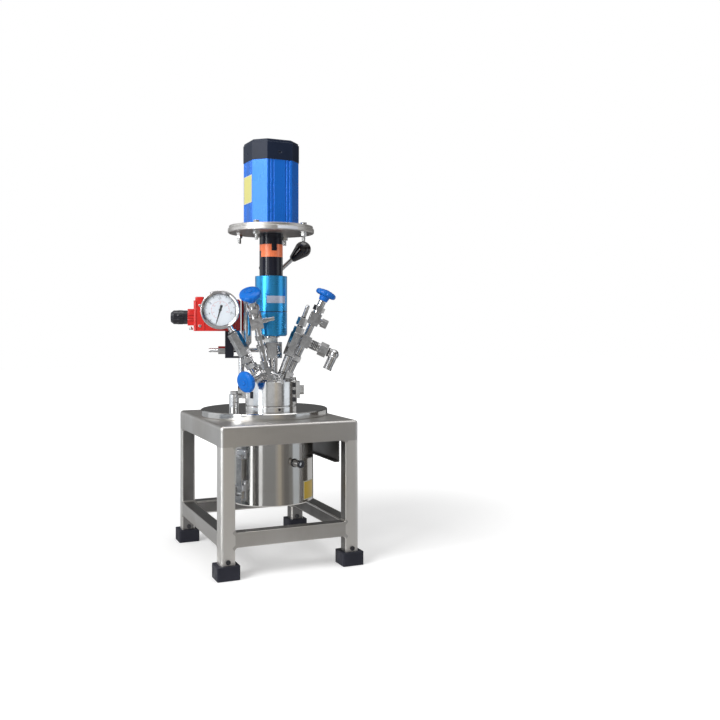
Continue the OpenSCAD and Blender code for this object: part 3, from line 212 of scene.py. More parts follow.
def newGroup(name, inputs, outputs):
    group = bpy.data.node_groups.new(name, "ShaderNodeTree")
    for label, kind, value in inputs:
        socket = group.interface.new_socket(label, in_out="INPUT", socket_type=kind)
        socket.default_value = value
    for label, kind in outputs:
        group.interface.new_socket(label, in_out="OUTPUT", socket_type=kind)
    start = group.nodes.new("NodeGroupInput")
    end = group.nodes.new("NodeGroupOutput")
    return group, start, end


def mathNode(tree, operation, a, b=None, c=None):
    node = tree.nodes.new("ShaderNodeMath")
    node.operation = operation
    for socket, value in zip(node.inputs, (a, b, c)):
        if value is None:
            continue
        if isinstance(value, (int, float)):
            socket.default_value = value
        else:
            tree.links.new(value, socket)
    return node.outputs[0]


# fine grain, stretched along an axis or turned about one
grainGroup, gIn, gOut = newGroup(
    "fineGrain",
    [("Scale", "NodeSocketFloat", 400.0), ("Stretch", "NodeSocketVector", (1, 1, 1)), ("Detail", "NodeSocketFloat", 3.0)],
    [("Grain", "NodeSocketFloat")])
coords = grainGroup.nodes.new("ShaderNodeTexCoord")
stretch = grainGroup.nodes.new("ShaderNodeVectorMath")
stretch.operation = "MULTIPLY"
noise = grainGroup.nodes.new("ShaderNodeTexNoise")
grainGroup.links.new(coords.outputs["Object"], stretch.inputs[0])
grainGroup.links.new(gIn.outputs["Stretch"], stretch.inputs[1])
grainGroup.links.new(stretch.outputs[0], noise.inputs["Vector"])
grainGroup.links.new(gIn.outputs["Scale"], noise.inputs["Scale"])
grainGroup.links.new(gIn.outputs["Detail"], noise.inputs["Detail"])
grainGroup.links.new(noise.outputs["Fac"], gOut.inputs["Grain"])

# lathe lines: rings about an upright axis, for faced discs
latheGroup, gIn, gOut = newGroup(
    "latheLines",
    [("Centre", "NodeSocketVector", (0, 0, 0)), ("Scale", "NodeSocketFloat", 900.0)],
    [("Grain", "NodeSocketFloat")])
coords = latheGroup.nodes.new("ShaderNodeTexCoord")
offCentre = latheGroup.nodes.new("ShaderNodeVectorMath")
offCentre.operation = "SUBTRACT"
flatten = latheGroup.nodes.new("ShaderNodeVectorMath")
flatten.operation = "MULTIPLY"
flatten.inputs[1].default_value = (1, 1, 0)
length = latheGroup.nodes.new("ShaderNodeVectorMath")
length.operation = "LENGTH"
noise = latheGroup.nodes.new("ShaderNodeTexNoise")
noise.noise_dimensions = "1D"
noise.inputs["Detail"].default_value = 4
latheGroup.links.new(coords.outputs["Object"], offCentre.inputs[0])
latheGroup.links.new(gIn.outputs["Centre"], offCentre.inputs[1])
latheGroup.links.new(offCentre.outputs[0], flatten.inputs[0])
latheGroup.links.new(flatten.outputs[0], length.inputs[0])
latheGroup.links.new(length.outputs["Value"], noise.inputs["W"])
latheGroup.links.new(gIn.outputs["Scale"], noise.inputs["Scale"])
latheGroup.links.new(noise.outputs["Fac"], gOut.inputs["Grain"])

# rounded look on sharp edges, and a mask of those edges that lightens them: partly rubbed metal, partly a painted
# highlight
edgeGroup, gIn, gOut = newGroup(
    "softEdges",
    [("Radius", "NodeSocketFloat", 0.0006), ("Breakup", "NodeSocketFloat", 60.0)],
    [("Normal", "NodeSocketVector"), ("Edge", "NodeSocketFloat")])
bevel = edgeGroup.nodes.new("ShaderNodeBevel")
bevel.samples = 4
geometry = edgeGroup.nodes.new("ShaderNodeNewGeometry")
dot = edgeGroup.nodes.new("ShaderNodeVectorMath")
dot.operation = "DOT_PRODUCT"
coords = edgeGroup.nodes.new("ShaderNodeTexCoord")
noise = edgeGroup.nodes.new("ShaderNodeTexNoise")
edgeGroup.links.new(coords.outputs["Object"], noise.inputs["Vector"])
edgeGroup.links.new(gIn.outputs["Breakup"], noise.inputs["Scale"])
edgeGroup.links.new(gIn.outputs["Radius"], bevel.inputs["Radius"])
edgeGroup.links.new(bevel.outputs[0], dot.inputs[0])
edgeGroup.links.new(geometry.outputs["Normal"], dot.inputs[1])
turned = mathNode(edgeGroup, "SUBTRACT", 1.0, dot.outputs["Value"])
edge = mathNode(edgeGroup, "MULTIPLY", turned, 6.0)
broken = mathNode(edgeGroup, "MULTIPLY", edge, noise.outputs["Fac"])
clipped = mathNode(edgeGroup, "MINIMUM", broken, 1.0)
edgeGroup.links.new(bevel.outputs[0], gOut.inputs["Normal"])
edgeGroup.links.new(clipped, gOut.inputs["Edge"])

# hand marks and drifting tone
smudgeGroup, gIn, gOut = newGroup(
    "handMarks",
    [("Scale", "NodeSocketFloat", 14.0), ("Low", "NodeSocketFloat", 0.3), ("High", "NodeSocketFloat", 0.4)],
    [("Roughness", "NodeSocketFloat"), ("Mask", "NodeSocketFloat")])
coords = smudgeGroup.nodes.new("ShaderNodeTexCoord")
noise = smudgeGroup.nodes.new("ShaderNodeTexNoise")
noise.inputs["Detail"].default_value = 5
noise.inputs["Distortion"].default_value = 0.6
ramp = smudgeGroup.nodes.new("ShaderNodeMapRange")
ramp.interpolation_type = "SMOOTHSTEP"
ramp.inputs["From Min"].default_value = 0.35
ramp.inputs["From Max"].default_value = 0.68
spread = smudgeGroup.nodes.new("ShaderNodeMapRange")
smudgeGroup.links.new(coords.outputs["Object"], noise.inputs["Vector"])
smudgeGroup.links.new(gIn.outputs["Scale"], noise.inputs["Scale"])
smudgeGroup.links.new(noise.outputs["Fac"], ramp.inputs["Value"])
smudgeGroup.links.new(ramp.outputs["Result"], spread.inputs["Value"])
smudgeGroup.links.new(gIn.outputs["Low"], spread.inputs["To Min"])
smudgeGroup.links.new(gIn.outputs["High"], spread.inputs["To Max"])
smudgeGroup.links.new(spread.outputs["Result"], gOut.inputs["Roughness"])
smudgeGroup.links.new(ramp.outputs["Result"], gOut.inputs["Mask"])


def placeGroup(tree, group, **values):
    node = tree.nodes.new("ShaderNodeGroup")
    node.node_tree = group
    for label, value in values.items():
        node.inputs[label].default_value = value
    return node


def mixColour(tree, factor, a, b):
    node = tree.nodes.new("ShaderNodeMix")
    node.data_type = "RGBA"
    for socket, value in ((node.inputs["Factor"], factor), (node.inputs["A"], a), (node.inputs["B"], b)):
        if isinstance(value, tuple):
            socket.default_value = (*value, 1)
        elif isinstance(value, (int, float)):
            socket.default_value = value
        else:
            tree.links.new(value, socket)
    return node.outputs["Result"]


def makeFinish(name, spec):
    # one material from a small table of values
    material = bpy.data.materials.new(name)
    material.use_nodes = True
    tree = material.node_tree
    surface = tree.nodes["Principled BSDF"]
    surface.inputs["Metallic"].default_value = spec.get("metal", 0.0)
    surface.inputs["IOR"].default_value = spec.get("ior", 1.45)
    surface.inputs["Coat Weight"].default_value = spec.get("coat", 0.0)
    surface.inputs["Coat Roughness"].default_value = spec.get("coatRough", 0.05)
    low, high = spec["rough"]
    marks = placeGroup(tree, smudgeGroup, Scale=spec.get("markScale", 14.0), Low=low, High=high)
    if "lathe" in spec:
        grain = placeGroup(tree, latheGroup, Centre=spec["lathe"], Scale=spec.get("grainScale", 900.0))
    else:
        grain = placeGroup(tree, grainGroup, Scale=spec.get("grainScale", 400.0),
                           Stretch=spec.get("stretch", (1, 1, 1)))
    edges = placeGroup(tree, edgeGroup, Radius=spec.get("edge", 0.0006))
    toned = mixColour(tree, marks.outputs["Mask"], spec["colour"], spec.get("toneTo", spec["colour"]))
    speck = mathNode(tree, "MULTIPLY", grain.outputs["Grain"], spec.get("grainTone", 0.3))
    grained = mixColour(tree, speck, toned, spec.get("grainTo", spec["colour"]))
    # edges lightened by the mask: partly rubbed, partly a painted highlight
    edgeWornAndSheened = mixColour(tree, mathNode(tree, "MULTIPLY", edges.outputs["Edge"], spec.get("edgeWearAndSheen", 0.0)),
                     grained, spec.get("edgeWearAndSheenTo", spec["colour"]))
    tree.links.new(edgeWornAndSheened, surface.inputs["Base Color"])
    wobble = mathNode(tree, "MULTIPLY_ADD", grain.outputs["Grain"], spec.get("grainRough", 0.1), marks.outputs["Roughness"])
    rough = mathNode(tree, "SUBTRACT", wobble, spec.get("grainRough", 0.1) * 0.5)
    tree.links.new(rough, surface.inputs["Roughness"])
    bump = tree.nodes.new("ShaderNodeBump")
    bump.inputs["Strength"].default_value = spec.get("bump", 0.15)
    bump.inputs["Distance"].default_value = spec.get("bumpDepth", 0.0002)
    tree.links.new(grain.outputs["Grain"], bump.inputs["Height"])
    tree.links.new(edges.outputs["Normal"], bump.inputs["Normal"])
    tree.links.new(bump.outputs["Normal"], surface.inputs["Normal"])
    return material


stirAxis = Vector(joint["motor_spin"]["pos_m"])
discLow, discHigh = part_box("base_disc")
discCentre = ((discLow.x + discHigh.x) / 2, (discLow.y + discHigh.y) / 2, 0)
finishes = {
    # steel sheet and tube, blasted and wiped along its length
    "satinSteel": {"colour": (0.70, 0.68, 0.655), "toneTo": (0.53, 0.505, 0.475), "grainTo": (0.76, 0.745, 0.725),
                   "metal": 1.0, "rough": (0.34, 0.44), "grainScale": 900, "stretch": (1, 1, 0.08), "grainTone": 0.25,
                   "grainRough": 0.06, "bump": 0.03, "edge": 0.0014, "edgeWearAndSheen": 0.15, "edgeWearAndSheenTo": (0.85, 0.84, 0.82), "markScale": 6},
    # the same steel lighter, for the outer faces of the legs: painted light
    "paintedLightLegSteel": {"colour": (0.90, 0.875, 0.84), "toneTo": (0.76, 0.73, 0.69), "grainTo": (0.95, 0.94, 0.92),
                 "metal": 1.0, "rough": (0.38, 0.48), "grainScale": 900, "stretch": (1, 1, 0.04), "grainTone": 0.25,
                 "grainRough": 0.06, "bump": 0.03, "edge": 0.0014, "edgeWearAndSheen": 0.15, "edgeWearAndSheenTo": (0.97, 0.96, 0.94), "markScale": 6},
    # the same steel darker, for faces inside and under the frame: painted shade
    "paintedShadeSteel": {"colour": (0.22, 0.215, 0.215), "toneTo": (0.15, 0.145, 0.14), "grainTo": (0.30, 0.29, 0.285), "metal": 0.9,
                    "rough": (0.36, 0.48), "grainScale": 900, "stretch": (1, 1, 0.08), "grainTone": 0.3, "bump": 0.03,
                    "edge": 0.0006, "markScale": 9},
    "discSteel": {"colour": (0.66, 0.65, 0.64), "toneTo": (0.60, 0.59, 0.57), "grainTo": (0.72, 0.72, 0.71), "metal": 1.0,
                  "rough": (0.10, 0.16), "lathe": discCentre, "grainScale": 1500, "grainRough": 0.05, "bump": 0.03,
                  "edge": 0.0012, "markScale": 22},
    "jacketSteel": {"colour": (0.68, 0.665, 0.64), "toneTo": (0.62, 0.595, 0.56), "grainTo": (0.72, 0.71, 0.69), "metal": 1.0,
                    "rough": (0.10, 0.16), "grainScale": 500, "stretch": (0.03, 0.03, 1), "grainRough": 0.05, "bump": 0.02,
                    "edge": 0.0001, "markScale": 12},
    "turnedSteel": {"colour": (0.80, 0.795, 0.79), "toneTo": (0.72, 0.71, 0.70), "grainTo": (0.85, 0.85, 0.85), "metal": 1.0,
                    "rough": (0.14, 0.22), "grainScale": 900, "stretch": (0.04, 0.04, 1), "grainRough": 0.06, "bump": 0.04,
                    "edge": 0.0008, "markScale": 30},
    "fittingSteel": {"colour": (0.76, 0.755, 0.76), "toneTo": (0.46, 0.455, 0.46), "grainTo": (0.82, 0.82, 0.82), "metal": 1.0,
                     "rough": (0.08, 0.16), "grainScale": 900, "grainRough": 0.06, "bump": 0.04, "edge": 0.0009, "edgeWearAndSheen": 0.5,
                     "edgeWearAndSheenTo": (0.95, 0.95, 0.94), "markScale": 90},
    "columnSteel": {"colour": (0.76, 0.755, 0.75), "toneTo": (0.68, 0.67, 0.66), "grainTo": (0.82, 0.82, 0.81), "metal": 1.0,
                    "rough": (0.30, 0.38), "grainScale": 900, "stretch": (0.04, 0.04, 1), "grainRough": 0.06, "bump": 0.04,
                    "edge": 0.0008, "markScale": 30},
    "screwSteel": {"colour": (0.74, 0.735, 0.73), "toneTo": (0.64, 0.63, 0.62), "metal": 1.0, "rough": (0.15, 0.26),
                   "grainScale": 1200, "bump": 0.05, "edge": 0.0006, "edgeWearAndSheen": 0.4, "edgeWearAndSheenTo": (0.88, 0.88, 0.87), "markScale": 80},
    "plateSteel": {"colour": (0.70, 0.71, 0.74), "toneTo": (0.62, 0.625, 0.65), "metal": 0.55, "rough": (0.30, 0.40),
                   "grainScale": 1200, "bump": 0.04, "edge": 0.0006, "edgeWearAndSheen": 0.3, "edgeWearAndSheenTo": (0.88, 0.88, 0.90), "markScale": 60},
    "bearingSteel": {"colour": (0.72, 0.72, 0.73), "metal": 1.0, "rough": (0.1, 0.16), "grainScale": 1200, "bump": 0.03},
    "blackSteel": {"colour": (0.035, 0.035, 0.04), "toneTo": (0.05, 0.05, 0.055), "grainTo": (0.08, 0.08, 0.085),
                   "metal": 0.6, "rough": (0.22, 0.34), "grainScale": 900, "bump": 0.06, "edge": 0.0006, "edgeWearAndSheen": 0.35,
                   "edgeWearAndSheenTo": (0.35, 0.34, 0.33)},
    "footRubber": {"colour": (0.012, 0.013, 0.020), "toneTo": (0.018, 0.019, 0.028), "grainTo": (0.035, 0.035, 0.05),
                   "rough": (0.5, 0.66), "grainScale": 900, "grainTone": 0.5, "bump": 0.2, "edge": 0.0015, "edgeWearAndSheen": 0.3,
                   "edgeWearAndSheenTo": (0.12, 0.12, 0.15), "markScale": 40, "ior": 1.32},
    "whiteSeal": {"colour": (0.85, 0.85, 0.82), "rough": (0.35, 0.45), "grainScale": 900, "bump": 0.05},
    "woolFill": {"colour": (0.72, 0.70, 0.62), "toneTo": (0.62, 0.59, 0.50), "rough": (0.9, 0.95), "grainScale": 260,
                 "stretch": (1, 1, 0.3), "grainTone": 0.6, "grainTo": (0.5, 0.47, 0.4), "bump": 0.8, "bumpDepth": 0.0015},
    "linerAluminium": {"colour": (0.75, 0.76, 0.77), "metal": 1.0, "rough": (0.25, 0.35), "grainScale": 700,
                       "stretch": (0.05, 0.05, 1), "bump": 0.08},
    "hubBlack": {"colour": (0.005, 0.006, 0.012), "toneTo": (0.008, 0.009, 0.017), "grainTo": (0.02, 0.02, 0.035), "ior": 1.3,
                 "rough": (0.18, 0.26), "grainScale": 1100, "stretch": (0.05, 0.05, 1), "grainRough": 0.06, "bump": 0.05,
                 "edge": 0.0009, "edgeWearAndSheen": 0.35, "edgeWearAndSheenTo": (0.26, 0.26, 0.30), "coat": 0.5, "coatRough": 0.10},
    "knobBlack": {"colour": (0.010, 0.008, 0.010), "rough": (0.06, 0.12), "grainScale": 600, "bump": 0.02, "edge": 0.0004,
                  "coat": 0.6, "coatRough": 0.04, "ior": 1.5},
    "motorBlue": {"colour": (0.008, 0.165, 0.72), "toneTo": (0.006, 0.142, 0.64), "grainTo": (0.015, 0.21, 0.80), "metal": 0.30,
                  "rough": (0.24, 0.34), "grainScale": 1000, "stretch": (1, 1, 0.04), "grainRough": 0.05, "bump": 0.05,
                  "edge": 0.0003, "edgeWearAndSheen": 0.2, "edgeWearAndSheenTo": (0.25, 0.50, 0.90), "coat": 0.25, "coatRough": 0.18},
    "motorBlack": {"colour": (0.007, 0.012, 0.027), "toneTo": (0.010, 0.016, 0.035), "grainTo": (0.022, 0.032, 0.06),
                   "rough": (0.30, 0.40), "grainScale": 1400, "grainRough": 0.06, "bump": 0.08, "edge": 0.0016, "edgeWearAndSheen": 0.4,
                   "edgeWearAndSheenTo": (0.16, 0.19, 0.27), "ior": 1.27},
    "driveBlue": {"colour": (0.040, 0.40, 0.86), "toneTo": (0.033, 0.36, 0.79), "grainTo": (0.08, 0.50, 0.97), "metal": 0.88,
                  "rough": (0.24, 0.32), "grainScale": 800, "stretch": (0.03, 0.03, 1), "grainRough": 0.06, "bump": 0.04,
                  "edge": 0.0009, "edgeWearAndSheen": 0.35, "edgeWearAndSheenTo": (0.40, 0.68, 0.82), "coat": 0.2, "coatRough": 0.25},
    "spiderOrange": {"colour": (0.88, 0.20, 0.075), "toneTo": (0.82, 0.17, 0.06), "grainTo": (0.92, 0.28, 0.12),
                     "rough": (0.32, 0.42), "grainScale": 500, "bump": 0.06, "edge": 0.0006, "ior": 1.5},
    "caseSteel": {"colour": (0.78, 0.765, 0.77), "toneTo": (0.70, 0.68, 0.69), "metal": 1.0, "rough": (0.07, 0.14),
                  "grainScale": 900, "grainRough": 0.03, "bump": 0.02, "edge": 0.0006, "markScale": 40},
    "dialWhite": {"colour": (0.92, 0.95, 0.99), "toneTo": (0.89, 0.93, 0.98), "rough": (0.35, 0.45), "grainScale": 700,
                  "bump": 0.01, "edge": 0.0002},
    "pointerBlack": {"colour": (0.02, 0.02, 0.025), "rough": (0.3, 0.4), "grainScale": 900, "bump": 0.02, "edge": 0.0002},
    "coilRed": {"colour": (0.62, 0.018, 0.014), "toneTo": (0.54, 0.014, 0.011), "grainTo": (0.70, 0.04, 0.032),
                "rough": (0.14, 0.24), "grainScale": 700, "grainRough": 0.06, "bump": 0.06, "edge": 0.0012, "edgeWearAndSheen": 0.15,
                "edgeWearAndSheenTo": (0.8, 0.2, 0.16), "coat": 0.4, "coatRough": 0.08, "ior": 1.5},
    "glandBlack": {"colour": (0.008, 0.008, 0.011), "toneTo": (0.012, 0.012, 0.016), "grainTo": (0.03, 0.03, 0.04),
                   "rough": (0.14, 0.24), "grainScale": 900, "bump": 0.04, "edge": 0.0012, "ior": 1.45,
                   "coat": 0.5, "coatRough": 0.08},
    "wheelBlue": {"colour": (0.003, 0.140, 0.57), "toneTo": (0.003, 0.122, 0.50), "grainTo": (0.008, 0.175, 0.64),
                  "rough": (0.26, 0.36), "grainScale": 600, "grainRough": 0.04, "bump": 0.04, "edge": 0.0014, "edgeWearAndSheen": 0.2,
                  "edgeWearAndSheenTo": (0.10, 0.38, 0.85), "ior": 1.36},
}
finish = {name: makeFinish(name, spec) for name, spec in finishes.items()}

# clear flat glass of the gauge
glass = bpy.data.materials.new("gaugeGlass")
glass.use_nodes = True
surface = glass.node_tree.nodes["Principled BSDF"]
surface.inputs["Base Color"].default_value = (0.98, 0.99, 1.0, 1)
surface.inputs["Transmission Weight"].default_value = 1.0
surface.inputs["IOR"].default_value = 1.45
marks = placeGroup(glass.node_tree, smudgeGroup, Scale=70.0, Low=0.0, High=0.05)
glass.node_tree.links.new(marks.outputs["Roughness"], surface.inputs["Roughness"])
finish["gaugeGlass"] = glass

slotFinish = {
    "satin_steel": "satinSteel", "polished_steel": "turnedSteel", "fitting_steel": "fittingSteel", "screw_steel": "screwSteel",
    "black_screw": "blackSteel", "bearing_steel": "bearingSteel", "foot_rubber": "footRubber", "gasket_white": "whiteSeal",
    "wool": "woolFill", "liner_aluminium": "linerAluminium", "black_coat": "hubBlack", "knob_black": "knobBlack",
    "motor_blue": "motorBlue", "motor_black": "motorBlack", "drive_blue": "driveBlue", "orange_elastomer": "spiderOrange",
    "case_steel": "caseSteel", "dial_white": "dialWhite", "gauge_glass": "gaugeGlass", "pointer_black": "pointerBlack",
    "coil_red": "coilRed", "gland_black": "glandBlack", "wheel_blue": "wheelBlue",
}
nodeFinish = {"heater_socket": "fittingSteel", "column": "columnSteel", "latch_plates": "plateSteel", "base_disc": "discSteel",
              "heater_jacket": "jacketSteel", "heater_pan": "jacketSteel"}
for name, node in nodes.items():
    chosen = finish[nodeFinish.get(name, slotFinish[slotOf[name]])]
    for slot in node.material_slots:
        slot.material = chosen
print("finishes made:", len(finish))

# helpers for new pieces: they are shaped in millimetres and scaled once
def shift(x, y, z):
    return Matrix.Translation((x, y, z))


def turn(degrees, axis):
    return Matrix.Rotation(radians(degrees), 4, axis)


headTurn = -18
motorTurn = 2
stir = shift(stirAxis.x / mm, stirAxis.y / mm, 0)
onHead = stir @ turn(headTurn, "Z")
onMotor = stir @ turn(motorTurn, "Z")
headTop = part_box("head")[1].z / mm
gaugeFrame = onHead @ shift(-22, -12, headTop) @ turn(-28.6, "Y")
dialFrame = gaugeFrame @ shift(0, -14, 142) @ turn(90, "X")


def alongJoint(name):
    # frame at a joint, with Z along its axis
    place = Vector(joint[name]["pos_m"]) / mm
    axis = Vector(joint[name]["axis"])
    return Matrix.Translation(place) @ axis.to_track_quat("Z", "Y").to_matrix().to_4x4()


def addBar(bm, radius, height, place, segments=32, bevelled=0.0):
    # round bar standing on the place's own floor
    made = bmesh.ops.create_cone(bm, cap_ends=True, segments=segments, radius1=radius,
                                 radius2=radius, depth=height,
                                 matrix=place @ shift(0, 0, height / 2))
    if bevelled:
        rims = [e for e in {e for v in made["verts"] for e in v.link_edges}
                if len(e.link_faces) == 2 and max(len(f.verts) for f in e.link_faces) > 4]
        bmesh.ops.bevel(bm, geom=rims, offset=bevelled, segments=2, profile=0.5, affect="EDGES", material=-1)


def addBlock(bm, size, place, bevelled=0.0):
    made = bmesh.ops.create_cube(bm, size=1.0, matrix=place @ Matrix.Diagonal((*size, 1)))
    if bevelled:
        edges = list({e for v in made["verts"] for e in v.link_edges})
        bmesh.ops.bevel(bm, geom=edges, offset=bevelled, segments=2, profile=0.5, affect="EDGES", material=-1)


def addTurned(bm, profile, place, steps=48):
    # closed ring turned from a profile of (radius, height) points
    verts = [bm.verts.new((r, 0, z)) for r, z in profile]
    edges = [bm.edges.new((a, b)) for a, b in zip(verts, verts[1:] + verts[:1])]
    bmesh.ops.spin(bm, geom=verts + edges, cent=(0, 0, 0), axis=(0, 0, 1), angle=2 * pi, steps=steps, use_merge=True)
    found = {v for v in verts if v.is_valid}
    stack = list(found)
    while stack:
        for e in stack.pop().link_edges:
            for v in e.verts:
                if v not in found:
                    found.add(v)
                    stack.append(v)
    bmesh.ops.transform(bm, matrix=place, verts=list(found))


def addBand(bm, radius, thick, low, high, start, end, place, steps=16):
    # thin curved strip on a round wall, from one angle to another
    ring = [bm.verts.new((r * cos(radians(start)), r * sin(radians(start)), z))
            for r, z in ((radius, low), (radius + thick, low), (radius + thick, high), (radius, high))]
    cap = bm.faces.new(ring)
    before = set(bm.verts)
    bmesh.ops.spin(bm, geom=[cap] + list(cap.edges) + ring, cent=(0, 0, 0), axis=(0, 0, 1),
                   angle=radians(end - start), steps=steps, use_duplicate=False)
    added = ring + [v for v in bm.verts if v not in before]
    bmesh.ops.transform(bm, matrix=place, verts=[v for v in added if v.is_valid])


def finishPiece(name, bm, material, body, sharp=32, turned=True):
    bmesh.ops.remove_doubles(bm, verts=bm.verts, dist=0.0005)
    if turned:
        bmesh.ops.recalc_face_normals(bm, faces=bm.faces)
    bmesh.ops.scale(bm, vec=(mm, mm, mm), verts=bm.verts)
    mesh = bpy.data.meshes.new(name)
    bm.to_mesh(mesh)
    bm.free()
    mesh.shade_smooth()
    mesh.set_sharp_from_angle(angle=radians(sharp))
    mesh.materials.append(finish[material])
    piece = bpy.data.objects.new(name, mesh)
    bpy.context.collection.objects.link(piece)
    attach(piece, body)
    return piece


def wordMesh(bm, words, size, place):
    # numbers for a dial, made a mesh first and then put in place
    curve = bpy.data.curves.new("number", "FONT")
    curve.body = words
    curve.size = size
    curve.align_x = "CENTER"
    curve.align_y = "CENTER"
    curve.extrude = 0.04
    curve.resolution_u = 3
    holder = bpy.data.objects.new("number", curve)
    bpy.context.collection.objects.link(holder)
    bpy.context.view_layer.update()
    mesh = bpy.data.meshes.new_from_object(holder.evaluated_get(bpy.context.evaluated_depsgraph_get()))
    mesh.transform(place)
    bm.from_mesh(mesh)
    bpy.data.objects.remove(holder)
    bpy.data.curves.remove(curve)
    bpy.data.meshes.remove(mesh)


# pressure gauge
gauge = {
    "zero": 135, "sweep": 270, "majors": 10, "minors": 5, "step": 2,
    "outerTick": 27.3, "majorLength": 3.8, "minorLength": 2.0, "numberRadius": 20.2, "numberSize": 5.2,
    "innerRadius": 15.6, "innerNumber": 12.2, "innerSize": 2.3, "face": -5.95,
}
outer, inner = bmesh.new(), bmesh.new()
stops = gauge["majors"] * gauge["minors"]
for i in range(stops + 1):
    major = i % gauge["minors"] == 0
    angle = gauge["zero"] - gauge["sweep"] * i / stops
    reach = gauge["majorLength"] if major else gauge["minorLength"]
    mark = dialFrame @ turn(angle, "Z") @ shift(0, gauge["outerTick"] - reach / 2, gauge["face"])
    addBlock(outer, (0.75 if major else 0.36, reach, 0.1), mark)
    if major:
        addBlock(inner, (0.34, 1.5, 0.1), dialFrame @ turn(angle, "Z") @ shift(0, gauge["innerRadius"] - 0.75, gauge["face"]))
        upright = dialFrame @ turn(angle, "Z") @ shift(0, gauge["numberRadius"], gauge["face"]) @ turn(-angle, "Z")
        if i // gauge["minors"] % 2 == 0:
            wordMesh(outer, str(i // gauge["minors"] * gauge["step"]), gauge["numberSize"], upright)
            low = dialFrame @ turn(angle, "Z") @ shift(0, gauge["innerNumber"], gauge["face"]) @ turn(-angle, "Z")
            wordMesh(inner, str(i // gauge["minors"] * 30), gauge["innerSize"], low)
arcEnd = 90 + gauge["zero"]
for scale, radius, width in ((outer, gauge["outerTick"], 0.35), (inner, gauge["innerRadius"], 0.3)):
    addBand(scale, radius, width, gauge["face"] - 0.05, gauge["face"] + 0.05, arcEnd - gauge["sweep"], arcEnd, dialFrame, 90)
finish["dialInk"] = makeFinish("dialInk", {"colour": (0.02, 0.03, 0.06), "rough": (0.4, 0.5), "bump": 0.0, "edge": 0.0001})
finish["dialRed"] = makeFinish("dialRed", {"colour": (0.62, 0.10, 0.10), "rough": (0.4, 0.5), "bump": 0.0, "edge": 0.0001})
finishPiece("gaugeOuterScale", outer, "dialInk", "stand", turned=False)
finishPiece("gaugeInnerScale", inner, "dialRed", "stand", turned=False)

# snap-on bezel over the rim of the glass, with its dark seal inside
bezel = {"inner": 28.9, "crest": 31.6, "outer": 34.5, "rise": 1.5, "skirt": -5.2}
bm = bmesh.new()
addTurned(bm, [(bezel["inner"], -0.9), (bezel["inner"] + 0.2, -0.1), (bezel["crest"], bezel["rise"] - 0.4),
               (bezel["crest"] + 0.7, bezel["rise"]), (bezel["outer"] - 1.3, bezel["rise"]),
               (bezel["outer"] - 0.4, bezel["rise"] - 0.5),
               (bezel["outer"], bezel["rise"] - 1.4), (bezel["outer"], bezel["skirt"]), (bezel["outer"] - 0.35, bezel["skirt"]),
               (bezel["outer"] - 0.4, -0.9)], dialFrame, 96)
finishPiece("gaugeBezel", bm, "caseSteel", "stand", sharp=40)
bm = bmesh.new()
addTurned(bm, [(bezel["inner"] - 0.7, -0.95), (bezel["inner"] + 0.3, -0.95), (bezel["inner"] + 0.3, -0.2),
               (bezel["inner"] - 0.5, -0.5)], dialFrame, 96)
finishPiece("gaugeGlassSeal", bm, "glandBlack", "stand")

plug = {"radius": 5.0, "height": 3.0, "waist": 3.4, "depth": -14, "seat": 32.4}
bm = bmesh.new()
plugPlace = dialFrame @ shift(0, plug["seat"], plug["depth"]) @ turn(-90, "X")
addTurned(bm, [(0.01, 0), (plug["waist"], 0), (plug["waist"], 0.8), (plug["radius"], 1.0), (plug["radius"], plug["height"] - 0.6),
               (plug["radius"] - 0.8, plug["height"]), (0.01, plug["height"])], plugPlace, 32)
addBlock(bm, (1.4, 6.2, 1.0), plugPlace @ shift(0, 0, plug["height"] + 0.2), 0.3)
finishPiece("gaugeFillingPlug", bm, "footRubber", "stand")
print("gauge dressed")

# motor: nameplate left bare, cap screws, sticker on the plate's rim
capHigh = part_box("motor_cap")[1].z / mm
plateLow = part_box("motor_plate")[0].z / mm
nameplate = {"width": 42, "height": 49, "border": 1.6, "along": 0, "low": 637, "face": -44.0, "thick": 0.25, "proud": 0.12}


def labelFinish(name, colour, toneTo, rough, **more):
    # printed foil, left bare
    finish[name] = makeFinish(name, {"colour": colour, "toneTo": toneTo, "rough": rough, "grainScale": 900, "edge": 0.0003,
                                     "bump": 0.02, **more})


labelFinish("labelYellow", (0.70, 0.66, 0.20), (0.66, 0.63, 0.26), (0.3, 0.4), coat=0.2)
labelFinish("labelPale", (0.74, 0.73, 0.54), (0.70, 0.69, 0.56), (0.3, 0.4), coat=0.2)
labelFinish("labelLilac", (0.56, 0.60, 0.74), (0.50, 0.55, 0.70), (0.22, 0.3), metal=0.4, bump=0.03)
labelFinish("labelWhite", (0.66, 0.68, 0.72), (0.60, 0.62, 0.67), (0.25, 0.35), coat=0.2)
middle = onMotor @ shift(nameplate["face"] - nameplate["thick"] / 2, nameplate["along"],
                         nameplate["low"] + nameplate["height"] / 2)
bm = bmesh.new()
addBlock(bm, (nameplate["thick"], nameplate["width"], nameplate["height"]), middle)
finishPiece("motorPlateBorder", bm, "labelPale", "motor_unit")
bm = bmesh.new()
addBlock(bm, (nameplate["thick"], nameplate["width"] - 2 * nameplate["border"],
              nameplate["height"] - 2 * nameplate["border"]), middle @ shift(-nameplate["proud"], 0, 0))
finishPiece("motorPlateField", bm, "labelYellow", "motor_unit")

